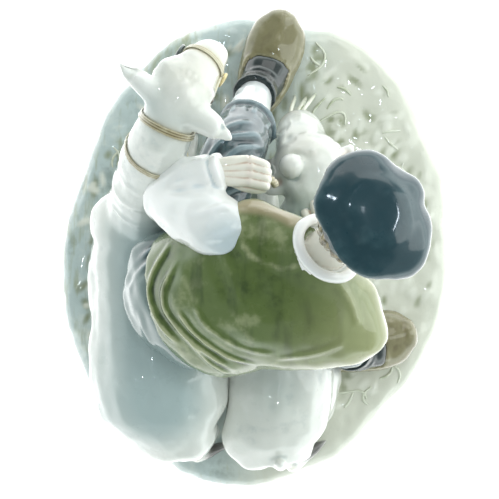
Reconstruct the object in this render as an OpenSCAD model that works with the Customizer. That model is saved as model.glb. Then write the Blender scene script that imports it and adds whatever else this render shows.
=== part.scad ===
// Glazed porcelain group: a boy seated on two resting calves, on an oval grass base.
// +X is the way the boy leans, +Y is the way both calves face, Z is up, floor at Z = 0.

/* [Overall] */

// Height of the whole group, from the floor to the top of the beret
group_height = 158; // [130:1:195]
// Long axis of the oval base
base_length = 200; // [175:1:240]
// Short axis of the oval base
base_width = 164; // [145:1:200]
// Height of the ground above the floor
base_height = 14; // [11:0.5:18]

/* [Base] */

// Turn of the oval's long axis, clockwise from +Y
base_turn = 10; // [0:1:20]
// Depth of the waves round the edge, as a share of the radius
edge_wave = 0.012; // [0:0.001:0.02]
// Height of the grass relief
grass_relief = 0.8; // [0:0.1:1.5]
// Wall of the hollow castings
wall = 5; // [4:0.5:6]
// Vent hole under the base
vent_diameter = 7; // [5:0.5:10]
// Holes that join the hollow castings
link_diameter = 9; // [6:0.5:12]

/* [Calves] */

// Thickness of the halter straps
strap_thickness = 0.9; // [0.8:0.1:1.5]
// Width of the halter straps
strap_width = 2.6; // [2:0.1:4]
// Bar thickness of the halter rings
ring_bar = 1.5; // [1.2:0.1:2]
// Outer diameter of the halter rings
ring_diameter = 6.4; // [5.5:0.1:8]
// Thickness of the tails
tail_thickness = 4.6; // [3.5:0.1:6]

/* [Boy] */

// Width of the beret
beret_width = 48.5; // [42:0.5:54]
// Depth of the beret, front to back
beret_depth = 42; // [37:0.5:48]
// Length of a clog
clog_length = 44; // [38:0.5:50]
// Width of a clog
clog_width = 26; // [22:0.5:28]
// Height of the shirt collar band
collar_height = 5; // [3.5:0.5:7]

/* [Hidden] */

$fn = 48;
design_height = 158;
design_ground = 14;
k = (group_height - base_height) / (design_height - design_ground);
// The figures stand this far along Y from the middle of the base.
group_shift = -2.1;

// Each form is a row of stations, one per line:
// [x, y, z, half width, half height, direction of the width in degrees].

haltered_barrel = [
    [-31, -74, 37, 20, 19, 8],
    [-37, -64, 38, 27, 23, 4],
    [-40, -50, 38.5, 29, 24.5, 2],
    [-42, -34, 38, 27.5, 24, 2],
    [-44.5, -15, 37, 25.5, 23.5, 0],
    [-45.5, 3, 37.5, 23.5, 24, 0],
    [-45, 18, 38, 21.5, 24.5, 0],
    [-44, 27, 36, 16, 18, -2],
];
haltered_neck = [
    [-44.5, 13, 46, 17, 17, 0],
    [-43.5, 24, 58, 15.5, 16, -4],
    [-41.5, 33.5, 74, 13.5, 14, -12],
    [-37.5, 43, 89, 12, 12.5, -26],
    [-33, 51.5, 99, 11, 11.5, -34],
    [-31, 56, 101, 10, 10, -34],
];
haltered_head = [
    [-33.5, 53.5, 102, 10.5, 9.5, -34],
    [-30, 59.5, 102.5, 12.2, 10.4, -34],
    [-26.5, 65, 99.5, 11.4, 10, -34],
    [-23, 70.5, 95.5, 9.4, 8.6, -34],
    [-20, 75.2, 91.5, 8.6, 7.6, -34],
    [-18.2, 78, 89.3, 7.6, 6.6, -34],
];
haltered_left_ear = [
    [-37.5, 60.5, 106, 3.2, 2.2, 68],
    [-42, 64.2, 108, 4.6, 2.2, 62],
    [-46.5, 68.2, 110, 3.8, 1.6, 52],
    [-51, 71.8, 111.6, 1.1, 0.8, 46],
];
haltered_right_ear = [
    [-24, 54.2, 105, 3.2, 2.2, 48],
    [-19.4, 51, 106.2, 4.8, 2.3, 52],
    [-14.6, 47.8, 106.6, 4, 1.7, 56],
    [-10, 44.4, 106.2, 1.1, 0.8, 60],
];
haltered_left_foreleg = [
    [-52, 8, 30, 9, 11, 0],
    [-54.5, 18, 24.5, 7.5, 8, 0],
    [-55.5, 25.5, 20, 6, 6.2, 0],
];
haltered_left_shin = [
    [-55.5, 25.5, 19.5, 5.6, 5.8, 0],
    [-59, 15, 17.5, 4.6, 4.6, 0],
    [-61, 5, 17, 4.6, 4.4, 0],
];
haltered_right_foreleg = [
    [-36, 16, 29, 9, 11, 0],
    [-33, 28, 24, 7.5, 8, -4],
    [-31, 38, 20.5, 6, 6.2, -8],
    [-30, 47, 18.4, 5, 4.8, -8],
    [-29.6, 54, 17.6, 5.4, 4.8, -8],
];
haltered_left_thigh = [
    [-51, -60, 32, 15, 20, 0],
    [-57, -44, 30, 12.6, 17, 0],
    [-58.5, -30, 26, 9.2, 13, 0],
];
haltered_left_hock = [
    [-53, -67, 22, 8, 9, -12],
    [-59.5, -52, 19.5, 6.6, 6.8, -6],
    [-62.5, -34, 18, 5, 5, 0],
    [-63.5, -20, 17.5, 5.2, 4.6, 0],
];
haltered_tail_line = [
    [-30, -80.5, 52, 1, 1, 8],
    [-28.5, -86.4, 43, 1, 1, 8],
    [-25.5, -87, 32, 1, 1, 10],
    [-20.5, -84, 22, 1.25, 1.25, 30],
    [-15.5, -81.5, 17.5, 1.35, 1.1, 40],
    [-11, -81.6, 16, 0.5, 0.5, 40],
];

grazing_barrel = [
    [10, -78, 33, 14, 15.5, 4],
    [9.5, -69, 34.5, 20.5, 20, 2],
    [9.3, -56, 35, 22.3, 21, 0],
    [10.8, -39, 34.5, 21.3, 20.8, 0],
    [14, -19, 34, 20, 20.4, -4],
    [17, -2, 33.5, 18.8, 20, -6],
    [19.5, 10, 33, 15.5, 18.5, -6],
    [20.5, 17, 32, 10, 13, -6],
];
grazing_neck = [
    [18.5, 4, 40, 14.5, 14.5, -6],
    [20, 12, 49, 13.4, 13, -6],
    [21.6, 20, 56, 12, 11.6, -4],
    [22.4, 27, 58.5, 11, 10.5, 4],
    [22, 31.5, 57, 10.4, 9.4, 10],
];
grazing_head = [
    [23, 26.5, 60, 12.4, 10.6, 13],
    [21.8, 32.4, 58.8, 14.8, 11.4, 13],
    [20.2, 38.4, 54.2, 13.6, 11, 13],
    [18.8, 44.8, 47.4, 11.2, 9.4, 13],
    [17.6, 50.6, 40.8, 10, 8.2, 13],
    [17, 53.8, 36.8, 8.8, 7.2, 13],
];
grazing_left_ear = [
    [14, 29, 61, 3.2, 2.2, 80],
    [9.4, 28.4, 61.6, 4.6, 2.2, 84],
    [4.6, 28, 60, 3.8, 1.6, 88],
    [0.6, 27.8, 57.4, 1.1, 0.8, 92],
];
grazing_right_ear = [
    [30.6, 32, 60.4, 3.4, 2.4, 118],
    [33.8, 35.8, 60.8, 5, 2.4, 124],
    [36.6, 40.4, 59.4, 4.2, 1.8, 130],
    [38.2, 44.6, 57, 1.2, 0.8, 136],
];
grazing_left_foreleg = [
    [9, 0, 28, 8, 10, 0],
    [5.5, 12, 23, 6.6, 7.4, 4],
    [4.5, 22, 19.6, 5.6, 5.8, 4],
    [5.4, 31, 18, 4.7, 4.5, -4],
    [6.6, 38, 17.4, 5, 4.5, -8],
];
grazing_right_foreleg = [
    [26, 0, 28, 8, 10, 0],
    [31, 10, 23, 6.6, 7.4, -8],
    [33, 18, 19.6, 5.6, 5.8, -8],
];
grazing_right_shin = [
    [33, 18, 19.2, 5.2, 5.4, -8],
    [37, 8, 17.4, 4.4, 4.4, -20],
    [40, -2, 17, 4.4, 4.3, -20],
];
grazing_right_thigh = [
    [20, -66, 30, 12, 16, 0],
    [25, -52, 28, 10.5, 13.5, 0],
    [27, -40, 25, 8, 10.5, 0],
];
grazing_right_hock = [
    [23, -68, 21, 7, 8, 12],
    [28.5, -54, 19, 5.8, 6, 6],
    [32, -38, 17.6, 4.8, 4.8, 4],
    [33.4, -26, 17.2, 4.8, 4.4, 0],
];
grazing_tail_line = [
    [10.2, -84, 49, 1, 1, 0],
    [11.4, -89.2, 40, 1, 1, 0],
    [14, -89.4, 30, 1, 1, -10],
    [18.5, -85.5, 21, 1.25, 1.25, -40],
    [23.5, -81.5, 17, 1.3, 1.1, -40],
    [28, -79, 16, 0.5, 0.5, -40],
];

seat = [
    [-43, -22.5, 65, 17, 12, 115],
    [-36, -19.5, 68.5, 27.5, 19, 115],
    [-25, -15, 72, 28, 20.5, 115],
    [-14, -10, 75, 22, 18, 115],
];
left_thigh = [
    [-27, -6, 70, 14.5, 14, 0],
    [-21, 10, 71.5, 13.6, 13.6, -6],
    [-14.5, 27, 73, 12.8, 13, -14],
    [-10.2, 38.5, 72, 12.6, 12.8, -18],
    [-7, 46, 64, 12, 11.6, -20],
    [-4.6, 51.5, 54.5, 11.2, 10.6, -20],
    [-3.4, 54, 49, 11.4, 10.6, -20],
];
right_thigh = [
    [-20, -25, 69, 14.5, 14, 90],
    [-4, -26.5, 70.5, 13.6, 13.8, 92],
    [12, -27.5, 71.5, 12.8, 13.2, 94],
    [25, -28.5, 70.5, 12.4, 12.6, 98],
    [32.4, -31, 63.5, 11.4, 11.4, 106],
    [35.6, -33.6, 55, 10.6, 10.4, 112],
    [36.8, -35, 49.5, 10.8, 10.4, 112],
];
left_shin = [
    [-4, 52.5, 56, 8.2, 8.2, -20],
    [-2.6, 60, 46, 8.4, 8, -20],
    [-0.4, 67, 35.5, 7.2, 7, -20],
    [0.6, 70.5, 30, 7, 7, -20],
];
right_shin = [
    [35.8, -34, 57, 8, 8, 108],
    [37.6, -36.4, 46, 8.2, 7.8, 108],
    [39, -38.6, 36, 7.2, 7, 108],
    [39.6, -39.4, 31, 7, 7, 108],
];
left_foot = [
    [-1, 66.5, 39, 8.6, 8.2, -20],
    [0.2, 69, 31, 8.6, 8.6, -19],
    [2.4, 73, 26.5, 9.4, 8, -17],
    [5, 80, 24.5, 9.6, 6.6, -16],
];
right_foot = [
    [38.8, -38.2, 39, 8.6, 8.2, 108],
    [39.8, -39.4, 31.5, 8.6, 8.6, 108],
    [43, -38.4, 27, 9.4, 8, 106],
    [50, -36.8, 24.5, 9.6, 6.6, 104],
];
left_clog_line = [
    [-0.4, 62.8, 22, 7.6, 7, -16],
    [1.2, 68.5, 22.4, 10.4, 8.6, -16],
    [4.6, 79, 22, 12, 8.4, -16],
    [8, 89, 21, 12.9, 7.6, -16],
    [10.3, 97, 20.4, 10.6, 6.2, -16],
    [11.3, 101, 21.6, 6.6, 4.4, -16],
];
right_clog_line = [
    [28.2, -40.2, 22, 7.2, 7, 102],
    [33, -39.2, 22.4, 9.8, 8.6, 102],
    [43.6, -37, 22, 11.8, 8.4, 102],
    [53.6, -34.8, 21, 12.8, 7.6, 102],
    [61, -33.2, 20.4, 10.6, 6.2, 102],
    [64.8, -32.4, 21.6, 6.6, 4.4, 102],
];

torso = [
    [-27.5, -20, 71, 24, 17.5, 117],
    [-23, -18.5, 77.5, 31, 21.5, 117],
    [-11.5, -15, 88, 31.5, 21, 120],
    [6, -14, 97, 35, 19, 128],
    [18, -10, 104, 35.4, 15.6, 137],
    [20.5, -3.5, 110, 21, 12, 142],
    [23.5, 0, 114, 12, 10.4, 142],
];
left_upper_arm = [
    [-8, 6, 101, 11, 10.6, 60],
    [-16, 12, 103, 12.4, 11.6, 50],
    [-25.5, 17.5, 96, 11.6, 10.6, 60],
    [-32.5, 21.5, 87, 10.4, 9.6, 60],
    [-35.5, 23.6, 82.5, 9.4, 8.8, 60],
];
left_forearm = [
    [-36.5, 22, 83.5, 9.2, 8.8, 114],
    [-30.5, 26, 89, 9.8, 9.2, 114],
    [-23, 30, 94.5, 9, 8.6, 114],
    [-15.5, 32.6, 97.5, 7.2, 7, 108],
];
left_palm = [
    [-17, 32.2, 97, 5, 4.6, 106],
    [-10, 33.4, 98, 6.4, 4.2, 98],
    [-3.5, 32.8, 96.5, 7.2, 4.2, 86],
    [0.6, 31.4, 94.6, 6.2, 3.6, 76],
];
right_upper_arm = [
    [29, -13, 97, 11, 10.6, 128],
    [36, -19.5, 94.5, 11.2, 11, 128],
    [37, -18, 84, 10.4, 10, 120],
    [36, -14.5, 75, 9.6, 9.4, 110],
    [35.4, -12.6, 71, 8.8, 8.6, 110],
];
right_forearm = [
    [36.4, -14.8, 71.5, 8.6, 8.4, 15],
    [34.6, -7, 70, 9, 8.4, 15],
    [32, 1, 69, 8.4, 7.8, 15],
    [29.6, 8, 68.4, 6.8, 6.4, 15],
];
right_palm = [
    [30, 7, 68.4, 5, 4.4, 15],
    [28.4, 13, 68.2, 6.2, 4, 15],
    [27, 18.4, 66.4, 6.4, 3.6, 15],
    [26.2, 22, 64.6, 5.4, 3.2, 15],
];
neck_line = [
    [19.5, -2.5, 108, 10.4, 10.4, 142],
    [23.6, 1.6, 115.5, 8.6, 8.6, 142],
    [28, 5.8, 122.5, 7.9, 7.9, 142],
    [31, 8.6, 128, 7.8, 7.8, 142],
];

function vec(s) = [s[0], s[1], s[2]];
function unit(v) = v / norm(v);
function place(s) = [
    k * s[0],
    k * (s[1] + group_shift),
    base_height + k * (s[2] - design_ground),
    k * s[3],
    k * s[4],
    s[5],
];
function blend(a, b, c, d, t) =
    0.5 * (2 * b + (c - a) * t + (2 * a - 5 * b + 4 * c - d) * t * t
    + (3 * b - a - 3 * c + d) * t * t * t);
function along(s, f) =
    let (n = len(s) - 1, i = min(max(floor(f), 0), n - 1))
    blend(s[max(i - 1, 0)], s[i], s[i + 1], s[min(i + 2, n)], f - i);
function resample(s, steps) =
    [for (j = [0 : steps * (len(s) - 1)]) along(s, j / steps)];
function grow(s, t) = [s[0], s[1], s[2], s[3] + t, s[4] + t, s[5]];
function heading(p, i) = unit(vec(p[min(i + 1, len(p) - 1)]) - vec(p[max(i - 1, 0)]));
function ring(c, t, a, b, w, n) =
    let (s = [cos(w), sin(w), 0], u = unit(cross(t, s)))
    [for (j = [0 : n - 1]) c + s * a * cos(360 * j / n) + u * b * sin(360 * j / n)];
function rings(p, n) = [
    for (i = [0 : len(p) - 1])
        ring(vec(p[i]), heading(p, i), p[i][3], p[i][4], p[i][5], n)
];
function dome(p, i, turn, cap, n) = [
    for (a = turn > 0 ? [28, 56] : [56, 28])
        ring(vec(p[i]) + turn * heading(p, i) * cap * sin(a), heading(p, i),
            p[i][3] * cos(a), p[i][4] * cos(a), p[i][5], n)
];
function flat(lists) = [for (l = lists) for (v = l) v];

// A closed skin over a list of rings, with a point at each end.
module skin(all_rings, first, last, n) {
    m = len(all_rings);
    points = concat(flat(all_rings), [first, last]);
    sides = [
        for (i = [0 : m - 2])
            for (j = [0 : n - 1])
                let (q = (j + 1) % n, a = i * n)
                for (f = [
                    [a + j, a + n + q, a + q],
                    [a + j, a + n + j, a + n + q],
                ]) f
    ];
    start = [for (j = [0 : n - 1]) [m * n, j, (j + 1) % n]];
    end = [for (j = [0 : n - 1]) [m * n + 1, (m - 1) * n + (j + 1) % n, (m - 1) * n + j]];
    polyhedron(points = points, faces = concat(sides, start, end));
}

// A rounded solid through a row of stations, as they stand.
module solid(stations, cap0 = 0.6, cap1 = 0.6, steps = 2, n = 16) {
    p = resample(stations, steps);
    m = len(p) - 1;
    c0 = cap0 * min(p[0][3], p[0][4]);
    c1 = cap1 * min(p[m][3], p[m][4]);
    all_rings = concat(
        c0 > 0 ? dome(p, 0, -1, c0, n) : [],
        rings(p, n),
        c1 > 0 ? dome(p, m, 1, c1, n) : []
    );
    skin(all_rings, vec(p[0]) - heading(p, 0) * c0, vec(p[m]) + heading(p, m) * c1, n);
}

// The same through stations of the group, sized with it.
module form(stations, cap0 = 0.6, cap1 = 0.6, steps = 2, n = 14, extra = 0) {
    solid([for (s = stations) grow(place(s), extra)], cap0, cap1, steps, n);
}

// A flat-ended slice of a form, thicker by t: the outside of a band round it.
module band(stations, from, to, t, n = 14) {
    p = [
        for (j = [0 : 2])
            grow(along([for (s = stations) place(s)], from + (to - from) * j / 2), t)
    ];
    skin(rings(p, n), vec(p[0]), vec(p[2]), n);
}

// A round bar along a row of stations.
module bar(stations, d, steps = 2, n = 8) {
    p = [for (s = stations) let (q = place(s)) [q[0], q[1], q[2], s[3] * d / 2, s[4] * d / 2, q[5]]];
    r = resample(p, steps);
    m = len(r) - 1;
    all_rings = concat(dome(r, 0, -1, d / 2, n), rings(r, n), dome(r, m, 1, d / 2, n));
    skin(all_rings, vec(r[0]) - heading(r, 0) * d / 2, vec(r[m]) + heading(r, m) * d / 2, n);
}

module put(x, y, z) {
    translate([k * x, k * (y + group_shift), base_height + k * (z - design_ground)]) children();
}

// Base

edge_count = 54;
function edge_radius(a) =
    1 + edge_wave * (cos(5 * a + 40) + 0.7 * cos(9 * a + 110) + 0.5 * cos(14 * a));
function base_point(share, a, z) =
    let (
        x = base_width / 2 * share * cos(a),
        y = base_length / 2 * share * sin(a)
    )
    [
        x * cos(base_turn) + y * sin(base_turn),
        y * cos(base_turn) - x * sin(base_turn),
        z,
    ];
function relief(share, a) =
    grass_relief * sin(share * 820 + 3 * a) * sin(5 * a + share * 200)
    * min(1, 4 * (1 - share)) * min(1, 1.6 * share);
function base_ring(share, z) = [
    for (j = [0 : edge_count - 1])
        let (a = 360 * j / edge_count)
        base_point(share * (share < 0.95 ? 1 : edge_radius(a)), a, z)
];
function ground_ring(share) = [
    for (j = [0 : edge_count - 1])
        let (a = 360 * j / edge_count)
        base_point(share, a, base_height + relief(share, a) - 1.6 * pow(share, 6))
];

module base_form() {
    low = [base_ring(0.965, 0), base_ring(0.995, 3), base_ring(1, 0.55 * base_height)];
    brim = [base_ring(0.975, base_height - 3)];
    top = [for (s = [0.93, 0.8, 0.66, 0.52, 0.36, 0.18]) ground_ring(s)];
    skin(concat(low, brim, top), [0, 0, 0], [0, 0, base_height], edge_count);
}

module base_cavity() {
    inner = 1 - 2 * wall / base_width;
    skin(
        [
            base_ring(min(0.94, inner - 0.02) * 0.97, wall - 1),
            base_ring(min(0.94, inner) * 0.97, base_height - wall),
        ],
        [0, 0, wall - 1], [0, 0, base_height - wall], edge_count
    );
}

module links() {
    put(-43, -20, 0) cylinder(d = link_diameter, h = 30 * k);
    put(12, -40, 0) cylinder(d = link_diameter, h = 30 * k);
}

module base() color([0.72, 0.76, 0.68]) difference() {
    base_form();
    base_cavity();
    translate([10, 40, -1]) cylinder(d = vent_diameter, h = wall + 2);
    intersection() {
        links();
        translate([-200, -200, wall]) cube([400, 400, base_height + 10]);
    }
}

tuft_spots = [
    [46, 58, 20], [60, 38, 75], [33, 68, 140], [64, 12, 30], [66, -16, 200],
    [50, -62, 100],
];
blade = [
    [1.8, 0, -2.4, 1, 1.2, 90],
    [2.6, 0.2, 0.6, 0.9, 1.1, 90],
    [4.6, 0.8, 2.8, 0.8, 1, 100],
    [7.6, 2.2, 3.6, 0.5, 0.5, 110],
];
module grass_tufts() color([0.62, 0.68, 0.5]) difference() {
    for (s = tuft_spots)
        translate([s[0] * base_width / 164, s[1] * base_length / 200, base_height])
            for (q = [0, 115, 235]) rotate(s[2] + q) solid(blade, 0, 0, 1, 6);
    base_form();
}

// Haltered calf

module haltered_body_form() form(haltered_barrel, 0.85, 0.6, 2, 20);
module haltered_neck_form() form(haltered_neck, 0.4, 0.4);
module haltered_head_form() form(haltered_head, 0.75, 0.8);
module haltered_left_hind_form() {
    form(haltered_left_thigh, 0.8, 0.8, 2, 14);
    form(haltered_left_hock, 0.8, 0.8, 2, 12);
}
module haltered_left_fore_form() {
    form(haltered_left_foreleg, 0.6, 0.9, 2, 12);
    form(haltered_left_shin, 0.8, 0.9, 2, 12);
}

module haltered_calf_body() color([0.78, 0.83, 0.82]) difference() {
    haltered_body_form();
    form(haltered_barrel, 0.6, 0.4, 1, 12, -wall);
    links();
    base_form();
}
module haltered_calf_neck() color([0.8, 0.84, 0.83]) difference() {
    haltered_neck_form();
    haltered_body_form();
}
module haltered_calf_head() color([0.9, 0.9, 0.87]) difference() {
    haltered_head_form();
    haltered_neck_form();
}
module haltered_ears_form(line) form(line, 0.4, 1, 2, 12);
module haltered_calf_left_ear() color([0.93, 0.93, 0.9]) difference() {
    haltered_ears_form(haltered_left_ear);
    haltered_head_form();
    haltered_neck_form();
}
module haltered_calf_right_ear() color([0.93, 0.93, 0.9]) difference() {
    haltered_ears_form(haltered_right_ear);
    haltered_head_form();
    haltered_neck_form();
}
module haltered_calf_left_foreleg() color([0.84, 0.86, 0.84]) difference() {
    haltered_left_fore_form();
    haltered_body_form();
    base_form();
}
module haltered_calf_right_foreleg() color([0.84, 0.86, 0.84]) difference() {
    form(haltered_right_foreleg, 0.6, 0.9, 2, 12);
    haltered_body_form();
    base_form();
}
module haltered_calf_left_hind_leg() color([0.84, 0.86, 0.84]) difference() {
    haltered_left_hind_form();
    haltered_body_form();
    base_form();
}
module haltered_calf_tail() color([0.6, 0.58, 0.52]) difference() {
    bar(haltered_tail_line, tail_thickness);
    haltered_body_form();
    grazing_body_form();
    base_form();
}

// Halter

module halter_noseband() color([0.62, 0.57, 0.4]) difference() {
    band(haltered_head, 3.4, 3.4 + strap_width / 5.6, strap_thickness);
    haltered_head_form();
}
module halter_poll_strap() color([0.68, 0.62, 0.44]) difference() {
    band(haltered_neck, 3.55, 3.55 + strap_width / 10, strap_thickness);
    haltered_neck_form();
    haltered_head_form();
}
module halter_neck_strap() color([0.62, 0.55, 0.4]) difference() {
    band(haltered_neck, 2.62, 2.62 + strap_width / 13, strap_thickness);
    haltered_neck_form();
}

module cheek_strap(left) {
    side = left ? -0.96 : 0.96;
    bar([
        for (j = [0 : 3])
            let (
                s = along(haltered_head, 3.5 - j * 1.05),
                t = heading(resample(haltered_head, 1), 2),
                w = [cos(s[5]), sin(s[5]), 0],
                u = unit(cross(t, w)),
                q = vec(s) + w * side * s[3] + u * s[4] * 0.3
            )
            [q[0], q[1], q[2], 1, 1, s[5]]
    ], 2 * strap_thickness, 2, 8);
}
module cheek_straps_form() {
    cheek_strap(true);
    cheek_strap(false);
}
module halter_cheek_straps() color([0.62, 0.57, 0.4]) difference() {
    cheek_straps_form();
    haltered_head_form();
    haltered_neck_form();
    band(haltered_head, 3.4, 3.4 + strap_width / 5.6, strap_thickness);
    band(haltered_neck, 3.55, 3.55 + strap_width / 10, strap_thickness);
    haltered_ears_form(haltered_left_ear);
    haltered_ears_form(haltered_right_ear);
}
module halter_ring(spot, turn) {
    put(spot[0], spot[1], spot[2]) rotate([90, 0, turn]) scale(k)
        rotate_extrude() translate([(ring_diameter - ring_bar) / 2, 0]) circle(d = ring_bar);
}
module ring_cuts() {
    haltered_head_form();
    band(haltered_head, 3.4, 3.4 + strap_width / 5.6, strap_thickness);
    cheek_straps_form();
}
module halter_left_ring() color([0.35, 0.4, 0.4]) difference() {
    halter_ring([-29.4, 78.3, 91.5], 56);
    ring_cuts();
}
module halter_right_ring() color([0.6, 0.54, 0.36]) difference() {
    halter_ring([-13.2, 67.6, 90.5], 56);
    ring_cuts();
}
rope_end_line = [
    [-3.5, 31.2, 101, 1, 1, 0],
    [1, 30.6, 99.4, 1.15, 1.15, 0],
    [4.6, 29.6, 95, 1.25, 1.25, 0],
    [6.2, 28.6, 89.6, 1.4, 1.4, 0],
    [6.6, 28.2, 86, 0.9, 0.9, 0],
];
module halter_rope_end() color([0.72, 0.66, 0.4]) difference() {
    bar(rope_end_line, 2.6);
    left_palm_form();
    left_sleeve_form();
}

// Grazing calf

module grazing_body_form() form(grazing_barrel, 0.85, 0.6, 2, 20);
module grazing_neck_form() form(grazing_neck, 0.4, 0.4);
module grazing_head_form() form(grazing_head, 0.75, 0.8);

module grazing_ears_form(line) form(line, 0.4, 1, 2, 12);

module grazing_calf_body() color([0.84, 0.87, 0.86]) difference() {
    grazing_body_form();
    form(grazing_barrel, 0.6, 0.4, 1, 12, -wall);
    haltered_body_form();
    links();
    base_form();
}
module grazing_calf_neck() color([0.88, 0.9, 0.88]) difference() {
    grazing_neck_form();
    grazing_body_form();
    haltered_body_form();
}
module grazing_calf_head() color([0.92, 0.92, 0.89]) difference() {
    grazing_head_form();
    grazing_neck_form();
}
module grazing_calf_left_ear() color([0.94, 0.94, 0.9]) difference() {
    grazing_ears_form(grazing_left_ear);
    grazing_head_form();
    grazing_neck_form();
    haltered_body_form();
    haltered_neck_form();
}
module grazing_calf_right_ear() color([0.94, 0.94, 0.9]) difference() {
    grazing_ears_form(grazing_right_ear);
    grazing_head_form();
    grazing_neck_form();
}
module grazing_calf_left_foreleg() color([0.84, 0.86, 0.84]) difference() {
    form(grazing_left_foreleg, 0.6, 0.9, 2, 12);
    grazing_body_form();
    haltered_body_form();
    base_form();
}
module grazing_calf_right_foreleg() color([0.84, 0.86, 0.84]) difference() {
    union() {
        form(grazing_right_foreleg, 0.6, 0.9, 2, 12);
        form(grazing_right_shin, 0.8, 0.9, 2, 12);
    }
    grazing_body_form();
    base_form();
}
module grazing_right_hind_form() {
    form(grazing_right_thigh, 0.8, 0.8, 2, 14);
    form(grazing_right_hock, 0.8, 0.8, 2, 12);
}
module grazing_calf_right_hind_leg() color([0.84, 0.86, 0.84]) difference() {
    grazing_right_hind_form();
    grazing_body_form();
    base_form();
}
module grazing_calf_tail() color([0.6, 0.58, 0.52]) difference() {
    bar(grazing_tail_line, tail_thickness);
    grazing_body_form();
    base_form();
}
sprig_line = [
    [15.6, 55.6, 31.5, 0.6, 0.5, 0],
    [17, 59, 29, 0.9, 0.6, -10],
    [19, 62.6, 26, 0.8, 0.6, -20],
    [20.6, 65, 21, 0.7, 0.6, -20],
    [21, 66, 13.5, 0.7, 0.7, -20],
];
module grass_sprig() color([0.8, 0.84, 0.66]) difference() {
    union() {
        bar(sprig_line, 2.6, 2, 7);
        bar([for (s = sprig_line) [s[0] - 2.6, s[1] + 0.4, s[2] + 0.4, s[3], s[4], s[5]]], 2.2, 2, 7);
    }
    grazing_head_form();
    base_form();
}

// Breeches, stockings and clogs

module seat_form() form(seat, 0.55, 0.5, 2, 18);
module left_thigh_form() form(left_thigh, 0.6, 0);
module right_thigh_form() form(right_thigh, 0.6, 0);
module left_shin_form() form(left_shin, 0, 0);
module right_shin_form() form(right_shin, 0, 0);
module left_foot_form() form(left_foot, 0, 0.6);
module right_foot_form() form(right_foot, 0, 0.6);
module clog_form(line, heel) {
    stretch = clog_length / 44;
    form(
        [
            for (s = line)
                [
                    heel[0] + (s[0] - heel[0]) * stretch,
                    heel[1] + (s[1] - heel[1]) * stretch,
                    s[2],
                    s[3] * clog_width / 26,
                    s[4],
                    s[5],
                ]
        ],
        0.5, 0.6, 2, 14
    );
}
module left_clog_form() clog_form(left_clog_line, [0, 64]);
module right_clog_form() clog_form(right_clog_line, [31, -40]);
module calf_bodies() {
    haltered_body_form();
    grazing_body_form();
}
module breeches_seat() color([0.66, 0.72, 0.72]) difference() {
    seat_form();
    calf_bodies();
}
module breeches_left_leg() color([0.3, 0.42, 0.44]) difference() {
    left_thigh_form();
    seat_form();
    calf_bodies();
    haltered_neck_form();
    grazing_neck_form();
}
module breeches_right_leg() color([0.3, 0.42, 0.44]) difference() {
    right_thigh_form();
    seat_form();
    calf_bodies();
    left_thigh_form();
}
module left_stocking() color([0.95, 0.96, 0.95]) difference() {
    left_shin_form();
    left_thigh_form();
}
module right_stocking() color([0.95, 0.96, 0.95]) difference() {
    right_shin_form();
    right_thigh_form();
}
module left_sock() color([0.22, 0.3, 0.3]) difference() {
    left_foot_form();
    left_shin_form();
    base_form();
}
module right_sock() color([0.22, 0.3, 0.3]) difference() {
    right_foot_form();
    right_shin_form();
    base_form();
}
module left_clog() color([0.6, 0.57, 0.45]) difference() {
    left_clog_form();
    left_foot_form();
    left_shin_form();
    base_form();
}
module right_clog() color([0.6, 0.57, 0.45]) difference() {
    right_clog_form();
    right_foot_form();
    right_shin_form();
    base_form();
}

// Waistcoat and shirt

module torso_form() form(torso, 0.12, 0.4, 2, 22);
module left_sleeve_form() {
    form(left_upper_arm, 0.5, 0.8, 2, 14);
    form(left_forearm, 0.8, 0, 2, 14);
}
module right_sleeve_form() {
    form(right_upper_arm, 0.5, 0.8, 2, 14);
    form(right_forearm, 0.8, 0, 2, 14);
}
module left_palm_form() form(left_palm, 0, 0.9, 2, 12);
module right_palm_form() form(right_palm, 0, 0.9, 2, 12);
module waistcoat() color([0.34, 0.42, 0.27]) difference() {
    torso_form();
    seat_form();
    left_thigh_form();
    right_thigh_form();
    calf_bodies();
}
module left_sleeve() color([0.93, 0.95, 0.96]) difference() {
    left_sleeve_form();
    torso_form();
    haltered_body_form();
    haltered_neck_form();
    band(haltered_neck, 2.62, 2.62 + strap_width / 13, strap_thickness);
    left_thigh_form();
}
module right_sleeve() color([0.93, 0.95, 0.96]) difference() {
    right_sleeve_form();
    torso_form();
    right_thigh_form();
    grazing_body_form();
}
module left_hand() color([0.95, 0.9, 0.84]) difference() {
    left_palm_form();
    left_sleeve_form();
}
module right_hand() color([0.95, 0.9, 0.84]) difference() {
    right_palm_form();
    right_sleeve_form();
    grazing_neck_form();
    grazing_head_form();
}

// Head

head_center = [35.8, 11.8, 136.5];
head_turn = 32;
head_nod = 22;

// Stations of the head stand on its own axes: x to the face, y to its left, z up.
head_line = [
    [5.4, 0, -15.2, 4.4, 4.6, 90],
    [4, 0, -12, 8.4, 8.8, 90],
    [2.6, 0, -7.5, 11.4, 11.8, 90],
    [1, 0, -2, 13.2, 13.8, 90],
    [0, 0, 4, 13.5, 14.8, 90],
    [-0.6, 0, 9.5, 12.6, 14, 90],
    [-1, 0, 13.8, 9.4, 10.8, 90],
];
nose_line = [
    [13.2, 0, 2.4, 1.1, 1.4, 90],
    [14.4, 0, -1.4, 1.6, 2, 90],
    [15.2, 0, -4.2, 2.3, 2.4, 90],
];
beret_line = [
    [0, 0, 5.6, 14.6, 15.8, 90],
    [0, 0, 8, 15, 16.2, 90],
    [0.4, 0, 9.6, 20.4, 19, 90],
    [0.6, 0, 12.4, 22.5, 20, 90],
    [0.4, 0, 16.4, 20.6, 18.4, 90],
    [0, 0, 19.2, 13.4, 12, 90],
];
module head_place() {
    put(head_center[0], head_center[1], head_center[2])
        rotate([0, 0, head_turn]) rotate([0, head_nod, 0]) scale(k) children();
}
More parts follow.
